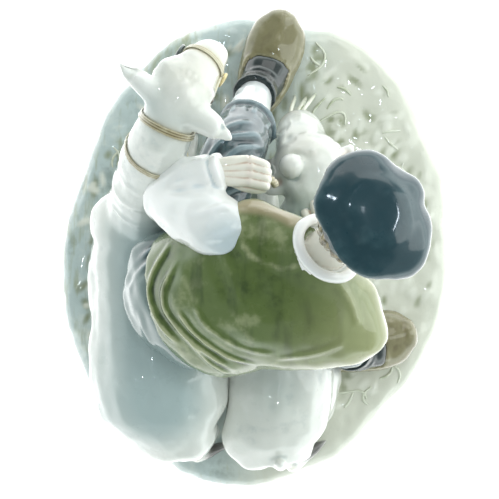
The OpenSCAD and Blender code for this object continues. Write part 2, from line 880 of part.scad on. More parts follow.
module head_form() head_place() {
    solid(head_line, 0.6, 0.5, 2, 16);
    solid(nose_line, 0.8, 0.6, 1, 8);
}
module ear_form(side) head_place()
    solid([
        [-0.6, side * 12.6, -6.4, 1.1, 1.4, 90],
        [-1, side * 13.8, -3.6, 1.6, 2.6, 90],
        [-1.6, side * 14.4, -0.4, 1.5, 3, 90],
        [-1.8, side * 13.8, 2, 1, 1.8, 90],
    ], 0.6, 0.6, 1, 10);
module hair_form() head_place() difference() {
    solid([for (s = head_line) grow(s, 1.5)], 0.6, 0.4, 2, 16);
    translate([2.5, -30, -40]) cube([60, 60, 60]);
    translate([-40, -30, -32]) cube([80, 60, 22.5]);
    translate([-3, -30, -32]) cube([80, 60, 28]);
}
module beret_form() head_place() solid([
    for (s = beret_line) [s[0], 0, s[2], s[3] * beret_width / 45, s[4] * beret_depth / 40, 90]
], 0, 0.16, 2, 22);
module neck_form() form(neck_line, 0, 0);
module collar_form() band(neck_line, 0.72, 0.72 + collar_height / 9, 2.3, 18);

module boy_neck() color([0.94, 0.88, 0.82]) difference() {
    neck_form();
    torso_form();
}
module shirt_collar() color([0.78, 0.8, 0.78]) difference() {
    collar_form();
    neck_form();
    torso_form();
}
module boy_head() color([0.95, 0.89, 0.83]) difference() {
    head_form();
    neck_form();
    collar_form();
    torso_form();
}
module boy_left_ear() color([0.95, 0.87, 0.81]) difference() {
    ear_form(1);
    head_form();
}
module boy_right_ear() color([0.95, 0.87, 0.81]) difference() {
    ear_form(-1);
    head_form();
}
module boy_hair() color([0.5, 0.44, 0.34]) difference() {
    hair_form();
    head_form();
    neck_form();
    collar_form();
    ear_form(1);
    ear_form(-1);
}
module beret() color([0.25, 0.36, 0.42]) difference() {
    beret_form();
    head_form();
    hair_form();
    ear_form(1);
    ear_form(-1);
}

base();
grass_tufts();
haltered_calf_body();
haltered_calf_neck();
haltered_calf_head();
haltered_calf_left_ear();
haltered_calf_right_ear();
haltered_calf_left_foreleg();
haltered_calf_right_foreleg();
haltered_calf_left_hind_leg();
haltered_calf_tail();
halter_noseband();
halter_cheek_straps();
halter_poll_strap();
halter_neck_strap();
halter_left_ring();
halter_right_ring();
halter_rope_end();
grazing_calf_body();
grazing_calf_neck();
grazing_calf_head();
grazing_calf_left_ear();
grazing_calf_right_ear();
grazing_calf_left_foreleg();
grazing_calf_right_foreleg();
grazing_calf_right_hind_leg();
grazing_calf_tail();
grass_sprig();
breeches_seat();
breeches_left_leg();
breeches_right_leg();
left_stocking();
right_stocking();
left_sock();
right_sock();
left_clog();
right_clog();
waistcoat();
shirt_collar();
left_sleeve();
right_sleeve();
left_hand();
right_hand();
boy_neck();
boy_head();
boy_left_ear();
boy_right_ear();
boy_hair();
beret();
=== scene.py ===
"""Glazed porcelain group: a boy in a beret seated on two resting calves, modelled over its CAD frame."""

import math

import bmesh
import bpy
import numpy as np
from bpy.props import FloatProperty, FloatVectorProperty, IntProperty, PointerProperty
from mathutils import Matrix, Vector, noise
from mathutils.bvhtree import BVHTree


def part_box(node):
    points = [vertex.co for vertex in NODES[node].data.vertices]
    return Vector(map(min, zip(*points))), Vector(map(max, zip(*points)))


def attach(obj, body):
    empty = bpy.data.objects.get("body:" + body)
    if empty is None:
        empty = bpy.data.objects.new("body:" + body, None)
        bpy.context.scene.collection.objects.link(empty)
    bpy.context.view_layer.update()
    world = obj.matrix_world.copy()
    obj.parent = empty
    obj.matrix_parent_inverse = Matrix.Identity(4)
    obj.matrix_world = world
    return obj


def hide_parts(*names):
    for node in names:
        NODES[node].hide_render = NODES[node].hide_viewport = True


bl_info = {
    "name": "Porcelain Calf Group",
    "version": (1, 0, 0),
    "blender": (4, 5, 0),
    "location": "View3D > Sidebar > Porcelain",
    "description": "Models and glazes a porcelain group over its CAD frame",
    "category": "Add Mesh",
}

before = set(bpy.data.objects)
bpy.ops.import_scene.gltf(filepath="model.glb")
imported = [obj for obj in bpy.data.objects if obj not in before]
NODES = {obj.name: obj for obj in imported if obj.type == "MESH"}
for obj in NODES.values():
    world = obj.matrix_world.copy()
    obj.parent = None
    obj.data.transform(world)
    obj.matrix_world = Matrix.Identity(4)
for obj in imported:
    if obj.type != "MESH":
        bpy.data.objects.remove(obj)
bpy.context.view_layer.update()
MM = 0.001
FIGURES_SHIFT = -2.1
TURF_RELIEF = 0.8
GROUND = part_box("base")[1].z / MM - TURF_RELIEF
BASE_WIDE, BASE_LONG, BASE_TURN = 82, 100, math.radians(10)
ABOVE_ALL = 400
DOWN = Vector((0, 0, -1))
CALF_EYE, CALF_EYEBALL = 2.6, 2.45
EAR_HOLLOW = 2.0
HOOP_POINTS = 33
SPECK_TONE = (0.12, 0.1, 0.07)
SKINS = {}


def at(x, y, z):
    """A spot on the figures in millimetres, in the shared frame."""
    return np.array((x, y + FIGURES_SHIFT, z), float)


def spots(rows):
    """Several spots on the figures."""
    return np.array([at(*row) for row in rows])


def unit(v):
    """The vector at length one."""
    v = np.asarray(v, float)
    return v / np.linalg.norm(v)


def step(low, high, value):
    """A soft step from 0 at low to 1 at high."""
    t = np.clip((value - low) / (high - low), 0, 1)
    return t * t * (3 - 2 * t)


def curve(points, count):
    """A smooth row of points through a few given ones."""
    points = np.asarray(points, float)
    last = len(points) - 1
    rows = []
    for f in np.linspace(0, last, count):
        i = min(int(f), last - 1)
        t = f - i
        a, b = points[max(i - 1, 0)], points[i]
        c, d = points[i + 1], points[min(i + 2, last)]
        rows.append(
            0.5
            * (
                2 * b
                + (c - a) * t
                + (2 * a - 5 * b + 4 * c - d) * t * t
                + (3 * b - a - 3 * c + d) * t**3
            )
        )
    return np.array(rows)


def hoop(centre, along, wide, high, turn, start=0, end=360):
    """An oval row of points round a limb, its width lying at turn degrees."""
    t = unit(along)
    s = np.array((math.cos(math.radians(turn)), math.sin(math.radians(turn)), 0))
    u = unit(np.cross(t, s))
    s = unit(np.cross(u, t))
    angles = np.radians(np.linspace(start, end, HOOP_POINTS))
    return centre + np.outer(np.cos(angles) * wide, s) + np.outer(np.sin(angles) * high, u)


def new_object(name, mesh):
    """A shown object at the origin that holds the mesh."""
    obj = bpy.data.objects.new(name, mesh)
    bpy.context.scene.collection.objects.link(obj)
    return obj


def mesh_from(bm, name):
    """The bmesh as a mesh."""
    mesh = bpy.data.meshes.new(name)
    bm.to_mesh(mesh)
    bm.free()
    return mesh


def remeshed(mesh, name, voxel):
    """The mesh's solids run together in one even skin, with cells this size in millimetres."""
    obj = new_object(name + "_rough", mesh)
    cells = obj.modifiers.new("Casting", "REMESH")
    cells.mode = "VOXEL"
    cells.voxel_size = voxel * MM
    graph = bpy.context.evaluated_depsgraph_get()
    skin = bpy.data.meshes.new_from_object(obj.evaluated_get(graph))
    bpy.data.objects.remove(obj)
    bpy.data.meshes.remove(mesh)
    skin.name = name
    return skin


class Clay:
    """A mesh's points in millimetres while it is being worked."""

    def __init__(self, mesh):
        self.mesh = mesh
        self.size = len(mesh.vertices)
        self.p = np.empty(self.size * 3)
        mesh.vertices.foreach_get("co", self.p)
        self.p = self.p.reshape(-1, 3) / MM
        pairs = np.empty(len(mesh.edges) * 2, int)
        mesh.edges.foreach_get("vertices", pairs)
        pairs = pairs.reshape(-1, 2)
        self.tail = np.concatenate((pairs[:, 0], pairs[:, 1]))
        self.head = np.concatenate((pairs[:, 1], pairs[:, 0]))
        self.links = np.maximum(np.bincount(self.tail, minlength=self.size), 1)
        self.fresh()

    def fresh(self):
        """Writes the points back and reads the normals again."""
        self.mesh.vertices.foreach_set("co", (self.p * MM).ravel())
        self.mesh.update()
        self.n = np.empty(self.size * 3, np.float32)
        self.mesh.vertex_normals.foreach_get("vector", self.n)
        self.n = self.n.reshape(-1, 3).astype(float)

    def mean(self, values):
        """Each point's neighbours' mean."""
        out = np.empty_like(values)
        for i in range(values.shape[1]):
            out[:, i] = np.bincount(self.tail, values[self.head, i], self.size) / self.links
        return out

    def soften(self, values, rounds):
        """The values blurred over the skin."""
        for _ in range(rounds):
            values = values + 0.5 * (self.mean(values) - values)
        return values

    def relax(self, rounds, share=1.0):
        """Wears facets away and gives back the girth that this costs."""
        smooth = self.soften(self.p, rounds)
        lost = self.soften(self.p - smooth, rounds)
        smooth = smooth + lost
        if np.ndim(share):
            share = share[:, None]
        self.p = self.p + (smooth - self.p) * share
        self.fresh()

    def near(self, spot, reach):
        """How close each point is to the spot, 1 there and falling to 0."""
        away = (self.p - spot) / reach
        return np.exp(-np.einsum("ij,ij->i", away, away))

    def swell(self, spot, reach, height):
        """Raises a soft mound, or presses a hollow."""
        self.p += self.n * (height * self.near(spot, reach))[:, None]

    def pull(self, spot, reach, move):
        """Draws the clay round the spot along."""
        self.p += np.outer(self.near(spot, reach), move)

    def knob(self, spot, radius):
        """Sets a ball in the surface at the spot."""
        away = self.p - spot
        far = np.linalg.norm(away, axis=1)
        chosen = far < radius
        rise = (radius**2 - far[chosen] ** 2) / radius
        way = away[chosen] + self.n[chosen] * rise[:, None]
        self.p[chosen] = spot + way / np.linalg.norm(way, axis=1)[:, None] * radius

    def reach(self, row, width, taper=0.0):
        """How close each point is to a row of points, 1 on it, with fading ends."""
        low, high = row.min(0) - 3 * width, row.max(0) + 3 * width
        chosen = np.nonzero(np.all((self.p > low) & (self.p < high), axis=1))[0]
        p = self.p[chosen]
        best = np.full(len(chosen), 1e9)
        place = np.zeros(len(chosen))
        count = len(row) - 1
        for i in range(count):
            a, d = row[i], row[i + 1] - row[i]
            t = np.clip((p - a) @ d / max(d @ d, 1e-9), 0, 1)
            off = p - a - t[:, None] * d
            gap = np.einsum("ij,ij->i", off, off)
            closer = gap < best
            best[closer] = gap[closer]
            place[closer] = (i + t[closer]) / count
        close = np.exp(-best / width**2)
        if taper:
            close *= step(0, taper, place) * step(0, taper, 1 - place)
        out = np.zeros(self.size)
        out[chosen] = close
        return out

    def ridge(self, row, width, height, taper=0.3):
        """Raises a line, or cuts a groove."""
        self.p += self.n * (height * self.reach(row, width, taper))[:, None]

    def fold(self, row, width, height, taper=0.3):
        """Raises a fold of cloth between two shallow hollows."""
        inner = self.reach(row, width, taper)
        outer = self.reach(row, width * 2.3, taper)
        self.p += self.n * (height * (1.25 * inner - 0.6 * outer))[:, None]

    def lumps(self, scale, height, seed):
        """Hand-worked unevenness with swells of this size in millimetres."""
        shift = Vector((seed, seed * 0.7, -seed))
        wave = np.array([noise.noise(Vector(q) / scale + shift) for q in self.p])
        self.p += self.n * (wave * height)[:, None]

    def bed(self, *names, depth=1.6, reach=1.4):
        """Sinks the faces that touch finished neighbours into them, so that no gap shows."""
        self.fresh()
        for name in names:
            tree, low, high = SKINS[name]
            inside = np.all((self.p > low - reach) & (self.p < high + reach), axis=1)
            for i in np.nonzero(inside)[0]:
                spot, normal, _, gap = tree.find_nearest(Vector(self.p[i]), reach)
                if spot is None:
                    continue
                facing = float(np.dot(self.n[i], normal))
                push = depth * (1 - gap / reach) ** 0.5 * min(max((0.3 - facing) / 0.8, 0), 1)
                self.p[i] -= np.array(normal) * push
        self.fresh()

    def mark(self, name, values):
        """Keeps a value for each point for the glaze to read."""
        layer = self.mesh.attributes.new(name, "FLOAT", "POINT")
        layer.data.foreach_set("value", np.clip(values, -1, 1).astype(np.float32))

    def break_lines(self, blur, gain):
        """Marks hollows, where a glaze pools, above 0 and ridges, where it thins, below 0."""
        bend = np.einsum("ij,ij->i", self.mean(self.p) - self.p, self.n)
        length = np.linalg.norm(self.p[self.tail] - self.p[self.head], axis=1).mean()
        bend = self.soften((bend / length**2)[:, None], blur)[:, 0]
        self.mark("hollow", bend * 6 * gain)


def keep_skin(name, mesh):
    """Remembers a finished surface for its neighbours to bed on."""
    co = np.empty(len(mesh.vertices) * 3)
    mesh.vertices.foreach_get("co", co)
    co = co.reshape(-1, 3) / MM
    faces = [tuple(face.vertices) for face in mesh.polygons]
    tree = BVHTree.FromPolygons([Vector(c) for c in co], faces)
    SKINS[name] = (tree, co.min(0), co.max(0))


def drape(name, rows):
    """Points given by X and Y dropped on a finished or rough surface."""
    tree = SKINS[name][0]
    hits = [tree.ray_cast(Vector((x, y, ABOVE_ALL)), DOWN)[0] for x, y in rows]
    return np.array([hit for hit in hits if hit is not None])


def cast(name, nodes, voxel, rounds, plugs=(), rods=()):
    """A rough casting: CAD solids, plugs and rods run together in one skin, their facets worn away."""
    bm = bmesh.new()
    for node in nodes:
        bm.from_mesh(NODES[node].data)
    bmesh.ops.remove_doubles(bm, verts=bm.verts, dist=1e-7)
    for spot, radius in plugs:
        bmesh.ops.create_icosphere(
            bm, subdivisions=3, radius=radius * MM, matrix=Matrix.Translation(Vector(spot) * MM)
        )
    for row, radii in rods:
        strand(bm, row, radii, 14)
    clay = Clay(remeshed(mesh_from(bm, name), name, voxel))
    clay.relax(rounds)
    keep_skin(name, clay.mesh)
    return clay


def finish_piece(name, mesh, material, nodes):
    """Puts a finished mesh in the scene with its glaze, and ties it to the frame."""
    mesh.name = name
    obj = new_object(name, mesh)
    mesh.polygons.foreach_set("use_smooth", [True] * len(mesh.polygons))
    mesh.materials.clear()
    mesh.materials.append(material)
    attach(obj, "root")
    if nodes:
        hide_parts(*nodes)
    return obj


def fire(clay, name, material, nodes, blur=3, gain=1.0):
    """Finishes a worked casting."""
    clay.fresh()
    clay.break_lines(blur, gain)
    keep_skin(name, clay.mesh)
    return finish_piece(name, clay.mesh, material, nodes)


def strand(bm, row, radii, sides):
    """A closed round rod through a row of points in millimetres."""
    row = [Vector(p) for p in row]
    count = len(row)
    if np.ndim(radii) == 0:
        radii = [radii * 0.45] + [radii] * (count - 2) + [radii * 0.45]
    heading = (row[1] - row[0]).normalized()
    turn = heading.to_track_quat("Z", "Y")
    made = bmesh.ops.create_circle(
        bm,
        cap_ends=True,
        radius=radii[0] * MM,
        segments=sides,
        matrix=Matrix.Translation(row[0] * MM) @ turn.to_matrix().to_4x4(),
    )
    loop = made["verts"]
    faces = [loop[0].link_faces[0]]
    for i in range(1, count):
        ahead = row[min(i + 1, count - 1)] - row[i - 1]
        swing = heading.rotation_difference(ahead.normalized())
        edges = {e for v in loop for e in v.link_edges if all(w in loop for w in e.verts)}
        made = bmesh.ops.extrude_edge_only(bm, edges=list(edges))
        fresh = [g for g in made["geom"] if isinstance(g, bmesh.types.BMVert)]
        faces += [g for g in made["geom"] if isinstance(g, bmesh.types.BMFace)]
        scale = radii[i] / max(radii[i - 1], 1e-6)
        centre = row[i - 1] * MM
        for v in fresh:
            v.co = row[i] * MM + swing @ ((v.co - centre) * scale)
        heading = ahead.normalized()
        loop = fresh
    faces += bmesh.ops.contextual_create(bm, geom=loop)["faces"]
    bmesh.ops.recalc_face_normals(bm, faces=faces)


def ball(bm, spot, radius, segments, rings):
    """A ball in millimetres."""
    bmesh.ops.create_uvsphere(
        bm, u_segments=segments, v_segments=rings, radius=radius * MM,
        matrix=Matrix.Translation(Vector(spot) * MM),
    )


def plain_piece(bm, name, material, slot, nodes, *empty):
    """Finishes rods or balls that need no working; the empty marks are 0 all over."""
    clay = Clay(mesh_from(bm, name))
    for mark in ("hollow", *empty):
        clay.mark(mark, np.zeros(clay.size))
    finish_piece(name, clay.mesh, material, nodes)
    return clay


# Glaze


def group_node(tree, group, **values):
    """Places a node group with its values."""
    node = tree.nodes.new("ShaderNodeGroup")
    node.node_tree = group
    for key, value in values.items():
        node.inputs[key.replace("_", " ").capitalize()].default_value = value
    return node


def new_group(name, inputs, outputs):
    """An empty node group with named sockets; each input is (name, type, value)."""
    tree = bpy.data.node_groups.new(name, "ShaderNodeTree")
    for label, kind, value in inputs:
        socket = tree.interface.new_socket(label, in_out="INPUT", socket_type=kind)
        socket.default_value = value
    for label, kind in outputs:
        tree.interface.new_socket(label, in_out="OUTPUT", socket_type=kind)
    return tree, tree.nodes.new("NodeGroupInput"), tree.nodes.new("NodeGroupOutput")


def math_node(tree, operation, first, second, clamp=False):
    """A Math node; each side is a socket or a number."""
    node = tree.nodes.new("ShaderNodeMath")
    node.operation = operation
    node.use_clamp = clamp
    for socket, value in zip(node.inputs, (first, second)):
        if isinstance(value, bpy.types.NodeSocket):
            tree.links.new(value, socket)
        else:
            socket.default_value = value
    return node.outputs[0]


def mix_colour(tree, factor, first, second):
    """A colour mix; each side is a socket or a colour."""
    node = tree.nodes.new("ShaderNodeMix")
    node.data_type = "RGBA"
    node.clamp_factor = True
    for socket, value in ((node.inputs[0], factor), (node.inputs[6], first), (node.inputs[7], second)):
        if isinstance(value, bpy.types.NodeSocket):
            tree.links.new(value, socket)
        else:
            socket.default_value = tuple(value)[:3] + (1,)
    return node.outputs[2]


def fit_range(tree, value, low, high, to_low=0.0, to_high=1.0):
    """Fits a socket's range with soft ends."""
    node = tree.nodes.new("ShaderNodeMapRange")
    node.interpolation_type = "SMOOTHSTEP"
    tree.links.new(value, node.inputs[0])
    for i, number in enumerate((low, high, to_low, to_high), 1):
        node.inputs[i].default_value = number
    return node.outputs[0]


def object_noise(tree, scale, detail, stretch=(1, 1, 1)):
    """Noise on Object coordinates in millimetres; scale is a socket or a number."""
    place = tree.nodes.new("ShaderNodeTexCoord")
    mapping = tree.nodes.new("ShaderNodeMapping")
    mapping.inputs["Scale"].default_value = [s / MM for s in stretch]
    field = tree.nodes.new("ShaderNodeTexNoise")
    field.inputs["Detail"].default_value = detail
    tree.links.new(place.outputs["Object"], mapping.inputs["Vector"])
    tree.links.new(mapping.outputs["Vector"], field.inputs["Vector"])
    if isinstance(scale, bpy.types.NodeSocket):
        tree.links.new(scale, field.inputs["Scale"])
    else:
        field.inputs["Scale"].default_value = scale
    return field.outputs["Fac"]


def attribute(tree, name):
    """A piece's own mark."""
    node = tree.nodes.new("ShaderNodeAttribute")
    node.attribute_name = name
    return node.outputs["Fac"]


def pooling_group():
    """Glaze that thins to a pale tone on ridges and pools to a deep one in hollows."""
    tree, given, out = new_group(
        "Glaze pooling",
        [
            ("Body", "NodeSocketColor", (0.5, 0.5, 0.5, 1)),
            ("Thin", "NodeSocketColor", (0.8, 0.8, 0.8, 1)),
            ("Deep", "NodeSocketColor", (0.1, 0.1, 0.1, 1)),
            ("Spread", "NodeSocketFloat", 1.0),
            ("Clouding", "NodeSocketFloat", 0.3),
        ],
        [("Color", "NodeSocketColor")],
    )
    hollow = math_node(tree, "MULTIPLY", attribute(tree, "hollow"), given.outputs["Spread"])
    cloud = fit_range(tree, object_noise(tree, 0.045, 3), 0.3, 0.7, -1, 1)
    fine = fit_range(tree, object_noise(tree, 0.3, 4), 0.35, 0.65, -0.35, 0.35)
    drift = math_node(tree, "MULTIPLY", math_node(tree, "ADD", cloud, fine), given.outputs["Clouding"])
    depth = math_node(tree, "ADD", hollow, drift)
    thin = fit_range(tree, math_node(tree, "MULTIPLY", depth, -1.0), 0.05, 0.95)
    deep = fit_range(tree, depth, 0.05, 0.95)
    colour = mix_colour(tree, thin, given.outputs["Body"], given.outputs["Thin"])
    colour = mix_colour(tree, deep, colour, given.outputs["Deep"])
    tree.links.new(colour, out.inputs["Color"])
    return tree


def streak_group():
    """Soft brush streaks laid along one direction."""
    tree, given, out = new_group(
        "Brush streaks",
        [("Scale", "NodeSocketFloat", 0.2), ("Low", "NodeSocketFloat", 0.5)],
        [("Mask", "NodeSocketFloat")],
    )
    long_way = object_noise(tree, given.outputs["Scale"], 4, (2.6, 0.5, 1.2))
    patch = object_noise(tree, 0.03, 2)
    both = math_node(tree, "ADD", long_way, math_node(tree, "MULTIPLY", patch, 0.8))
    mask = math_node(tree, "SUBTRACT", both, given.outputs["Low"])
    tree.links.new(math_node(tree, "MULTIPLY", mask, 3.0, True), out.inputs["Mask"])
    return tree


def speck_group():
    """Pinholes and iron specks under the glaze."""
    tree, given, out = new_group(
        "Glaze specks",
        [("Scale", "NodeSocketFloat", 0.8), ("Amount", "NodeSocketFloat", 0.5)],
        [("Mask", "NodeSocketFloat"), ("Height", "NodeSocketFloat")],
    )
    place = tree.nodes.new("ShaderNodeTexCoord")
    mapping = tree.nodes.new("ShaderNodeMapping")
    mapping.inputs["Scale"].default_value = [1 / MM] * 3
    cells = tree.nodes.new("ShaderNodeTexVoronoi")
    tree.links.new(place.outputs["Object"], mapping.inputs["Vector"])
    tree.links.new(mapping.outputs["Vector"], cells.inputs["Vector"])
    tree.links.new(given.outputs["Scale"], cells.inputs["Scale"])
    dot = fit_range(tree, cells.outputs["Distance"], 0.02, 0.11, 1, 0)
    kept = fit_range(tree, object_noise(tree, 0.25, 2), 0.56, 0.66)
    mask = math_node(tree, "MULTIPLY", math_node(tree, "MULTIPLY", dot, kept), given.outputs["Amount"])
    tree.links.new(mask, out.inputs["Mask"])
    ripple = object_noise(tree, 0.22, 2)
    tree.links.new(math_node(tree, "SUBTRACT", ripple, mask), out.inputs["Height"])
    return tree


def shared_group(name, make):
    """The named group, made once."""
    return bpy.data.node_groups.get(name) or make()


def glaze(name, body, thin, deep, clouding, spread=1.0, washes=(), specks=0.3,
          matte=0.32, coat=0.05, streaks=None, ripple=0.25, milk=0.0):
    """A glazed finish; washes are (mark, colour, low, high) laid over the pooled colour."""
    material = bpy.data.materials.new(name)
    material.use_nodes = True
    tree = material.node_tree
    shader = tree.nodes["Principled BSDF"]
    pool = group_node(
        tree, shared_group("Glaze pooling", pooling_group),
        body=tuple(body) + (1,), thin=tuple(thin) + (1,), deep=tuple(deep) + (1,),
        spread=spread, clouding=clouding,
    )
    colour = pool.outputs["Color"]
    if streaks:
        brushed = group_node(tree, shared_group("Brush streaks", streak_group), scale=streaks[1],
            low=streaks[2])
        colour = mix_colour(tree, brushed.outputs["Mask"], colour, streaks[0])
    for mark, tint, low, high in washes:
        colour = mix_colour(tree, fit_range(tree, attribute(tree, mark), low, high), colour, tint)
    dots = group_node(tree, shared_group("Glaze specks", speck_group), scale=0.9, amount=specks)
    colour = mix_colour(tree, dots.outputs["Mask"], colour, SPECK_TONE)
    tree.links.new(colour, shader.inputs["Base Color"])
    rough = fit_range(tree, object_noise(tree, 0.12, 3), 0.3, 0.7, matte - 0.06, matte + 0.08)
    tree.links.new(rough, shader.inputs["Roughness"])
    shader.inputs["Coat Weight"].default_value = 1.0
    shader.inputs["Coat Roughness"].default_value = coat
    shader.inputs["Coat IOR"].default_value = 1.5
    shader.inputs["Specular IOR Level"].default_value = 0.3
    if milk:
        shader.inputs["Subsurface Weight"].default_value = milk
        shader.inputs["Subsurface Radius"].default_value = (1.0, 0.9, 0.8)
        shader.inputs["Subsurface Scale"].default_value = 1.2 * MM
    bump = tree.nodes.new("ShaderNodeBump")
    bump.inputs["Strength"].default_value = ripple
    bump.inputs["Distance"].default_value = 0.35 * MM
    tree.links.new(dots.outputs["Height"], bump.inputs["Height"])
    tree.links.new(bump.outputs["Normal"], shader.inputs["Normal"])
    return material


def colour_property(name, value, description):
    """A linear colour a user would change."""
    return FloatVectorProperty(
        name=name, description=description, default=value, size=3, subtype="COLOR", min=0, max=1
    )


# Base


def model_base(props):
    """The oval plinth with its modelled turf."""
    bm = bmesh.new()
    bm.from_mesh(NODES["base"].data)
    bmesh.ops.remove_doubles(bm, verts=bm.verts, dist=1e-7)
    low, high = 3.5 * MM, (GROUND - 4.2) * MM
    inner = [
        face
        for face in bm.faces
        if all(low < v.co.z < high and oval_share(v.co / MM) < 0.925 for v in face.verts)
    ]
    bmesh.ops.delete(bm, geom=inner, context="FACES")
    bmesh.ops.holes_fill(bm, edges=bm.edges, sides=0)
    clay = Clay(remeshed(mesh_from(bm, "turf_base"), "turf_base", 1.1))
    clay.relax(10, share=step(1.0, 5.0, clay.p[:, 2]))
    clay.pull(at(-26, 92, 8), 26, np.array((-2.2, 2.8, 0)))
    clay.fresh()
    keep_skin("turf_base", clay.mesh)
    chance = np.random.default_rng(props.seed)
    share = np.array([oval_share(q) for q in clay.p])
    top = step(GROUND - 3, GROUND - 1.5, clay.p[:, 2]) * step(1.02, 0.9, share)
    side = step(0.9, 0.96, share) * step(1.5, 4, clay.p[:, 2])
    rolls = np.array([noise.noise(Vector(q) / 17 + Vector((3, 1, 0))) for q in clay.p])
    clods = np.array([noise.noise(Vector(q) / 6.5) for q in clay.p])
    clay.p += clay.n * (rolls * 1.3 * top + clods * 0.5 * (top + side))[:, None]
    blades = np.zeros(clay.size)
    olive = np.zeros(clay.size)
    for _ in range(props.blade_count):
        turn = chance.uniform(0, 2 * math.pi)
        out = math.sqrt(chance.uniform(0.12, 0.86))
        x, y = oval_point(out, turn)
        lean = math.radians(chance.normal(58, 26)) if x > -20 else chance.uniform(0, math.pi)
        length = chance.uniform(6, 17)
        bend = chance.uniform(-0.5, 0.5)
        row = []
        for t in (-0.5, -0.2, 0.15, 0.5):
            swing = lean + bend * t
            row.append((x + math.cos(swing) * length * t, y + math.sin(swing) * length * t, GROUND))
        line = clay.reach(np.array(row), chance.uniform(1.1, 2.4), 0.45) * top
        if chance.random() < 0.55:
            blades = np.maximum(blades, line)
            clay.p += clay.n * (line * chance.uniform(0.35, 0.8))[:, None]
        else:
            olive = np.maximum(olive, line)
            clay.p -= clay.n * (line * chance.uniform(0.3, 0.6))[:, None]
    broken = np.array([noise.noise(Vector(q) / 4.5) for q in clay.p])
    for x, y, long in (
        (32, 50, 11), (45, 54, 9), (42, 73, 9), (38, -56, 11), (27, -64, 7), (67, -6, 10), (60, 26, 9),
        (-57, 44, 8), (-64, -34, 9), (24, 78, 9),
    ):
        lie = np.array([(x - 0.28 * long, y - 0.4 * long, GROUND),
            (x + 0.28 * long, y + 0.4 * long, GROUND)])
        olive = np.maximum(olive, 0.95 * clay.reach(lie, 4.6) * top * step(-0.35, 0.25, broken))
    olive *= 1 - 0.75 * step(-56, -66, clay.p[:, 1]) * step(8, 26, clay.p[:, 0])
    # Painted highlight: the raised blades are washed cream, standing in for glints along their edges.
    clay.mark("blades", blades)
    clay.mark("olive", olive)
    # Painted light: the turf is washed paler towards the right, where the key light falls.
    right = step(-30, 40, clay.p[:, 0] - 0.15 * clay.p[:, 1])
    clay.mark("painted_light_right", right)
    clay.mark("foot", step(1.2, 0.5, clay.p[:, 2]))
    material = glaze(
        "turf glaze", props.turf, (0.76, 0.83, 0.79), (0.36, 0.44, 0.42), spread=0.8, clouding=0.6,
        washes=[
            # painted light: paler towards the right, where the key light falls
            ("painted_light_right", (0.75, 0.76, 0.66), 0.2, 0.95),
            ("olive", (0.3, 0.335, 0.2), 0.1, 1.15),
            # painted highlight along the raised blades
            ("blades", (0.88, 0.89, 0.8), 0.15, 1.0),
            ("foot", (0.66, 0.63, 0.56), 0.1, 0.9),
        ],
        streaks=((0.4, 0.44, 0.28), 0.16, 0.96), specks=0.5, ripple=0.45,
    )
    fire(clay, "turf_base", material, ["base"])


def oval_share(q):
    """How far out on the base a spot lies, 1 at the edge."""
    x = q[0] * math.cos(BASE_TURN) - q[1] * math.sin(BASE_TURN)
    y = q[0] * math.sin(BASE_TURN) + q[1] * math.cos(BASE_TURN)
    return math.hypot(x / BASE_WIDE, y / BASE_LONG)


def oval_point(share, angle):
    """The spot on the base at this share of the way out."""
    x, y = BASE_WIDE * share * math.cos(angle), BASE_LONG * share * math.sin(angle)
    cos, sin = math.cos(BASE_TURN), math.sin(BASE_TURN)
    return x * cos + y * sin, y * cos - x * sin


def model_grass(props):
    """Trailed slip tufts that stand on the turf."""
    chance = np.random.default_rng(props.seed + 4)
    bm = bmesh.new()
    tree = SKINS["turf_base"][0]
    trails = [
        [(25.2, 89.2), (29.2, 84.1), (27.5, 79), (21.8, 74.9)],
        [(23, 83), (24.8, 80.6), (27.5, 79)],
        [(34.3, 70), (37.7, 69.2), (40.3, 66.6)],
        [(23.5, 57.3), (24.5, 60.2), (26.7, 62.8), (29.2, 65.3)],
        [(30.1, 60.7), (32.6, 64.1), (35.6, 65.3), (36.9, 64.5)],
        [(26, 54.7), (30.1, 57.3), (34.7, 59.4), (37.7, 58.1), (37.7, 53.9)],
        [(53.9, 70.7), (55.6, 68.7), (56.4, 65.8)],
    ]
    homes = [(54, 50), (64, 30), (67, 4), (58, -48), (48, -64), (-66, -2), (-60, 36), (40, -60)]
    for home in homes:
        swing = chance.uniform(0, 2 * math.pi)
        for _ in range(2):
            x, y = home[0] + chance.normal(0, 0.8), home[1] + chance.normal(0, 0.8)
            swing += chance.uniform(0.9, 1.9)
            bend = chance.uniform(-0.5, 0.5)
            trails.append([
                (x + 2.6 * t * math.cos(swing + bend * t), y + 2.6 * t * math.sin(swing + bend * t))
                for t in range(4)
            ])
    for trail in trails:
        row = []
        for x, y in curve(trail, 14):
            hit = tree.ray_cast(Vector((x, y, 60)), DOWN)[0]
            if hit is None or oval_share(hit) > 0.97:
                break
            row.append((x, y, hit.z + 0.1))
        if len(row) > 5:
            radii = [0.25 + 0.36 * math.sin(math.pi * (i + 0.5) / len(row)) for i in range(len(row))]
            strand(bm, row, radii, 7)
    material = glaze("slip grass glaze", (0.76, 0.79, 0.66), (0.88, 0.89, 0.82), (0.5, 0.55, 0.38),
        clouding=0.6)
    plain_piece(bm, "slip_grass", material, "grass_glaze", ["grass_tufts"])


# Calves


def probe(name, inside, toward):
    """Where a line from a spot inside a finished form leaves it."""
    toward = Vector(unit(toward))
    hit = SKINS[name][0].ray_cast(Vector(inside) + toward * 60, -toward)[0]
    if hit is None:
        raise RuntimeError(f"nothing of {name} lies that way")
    return np.array(hit)


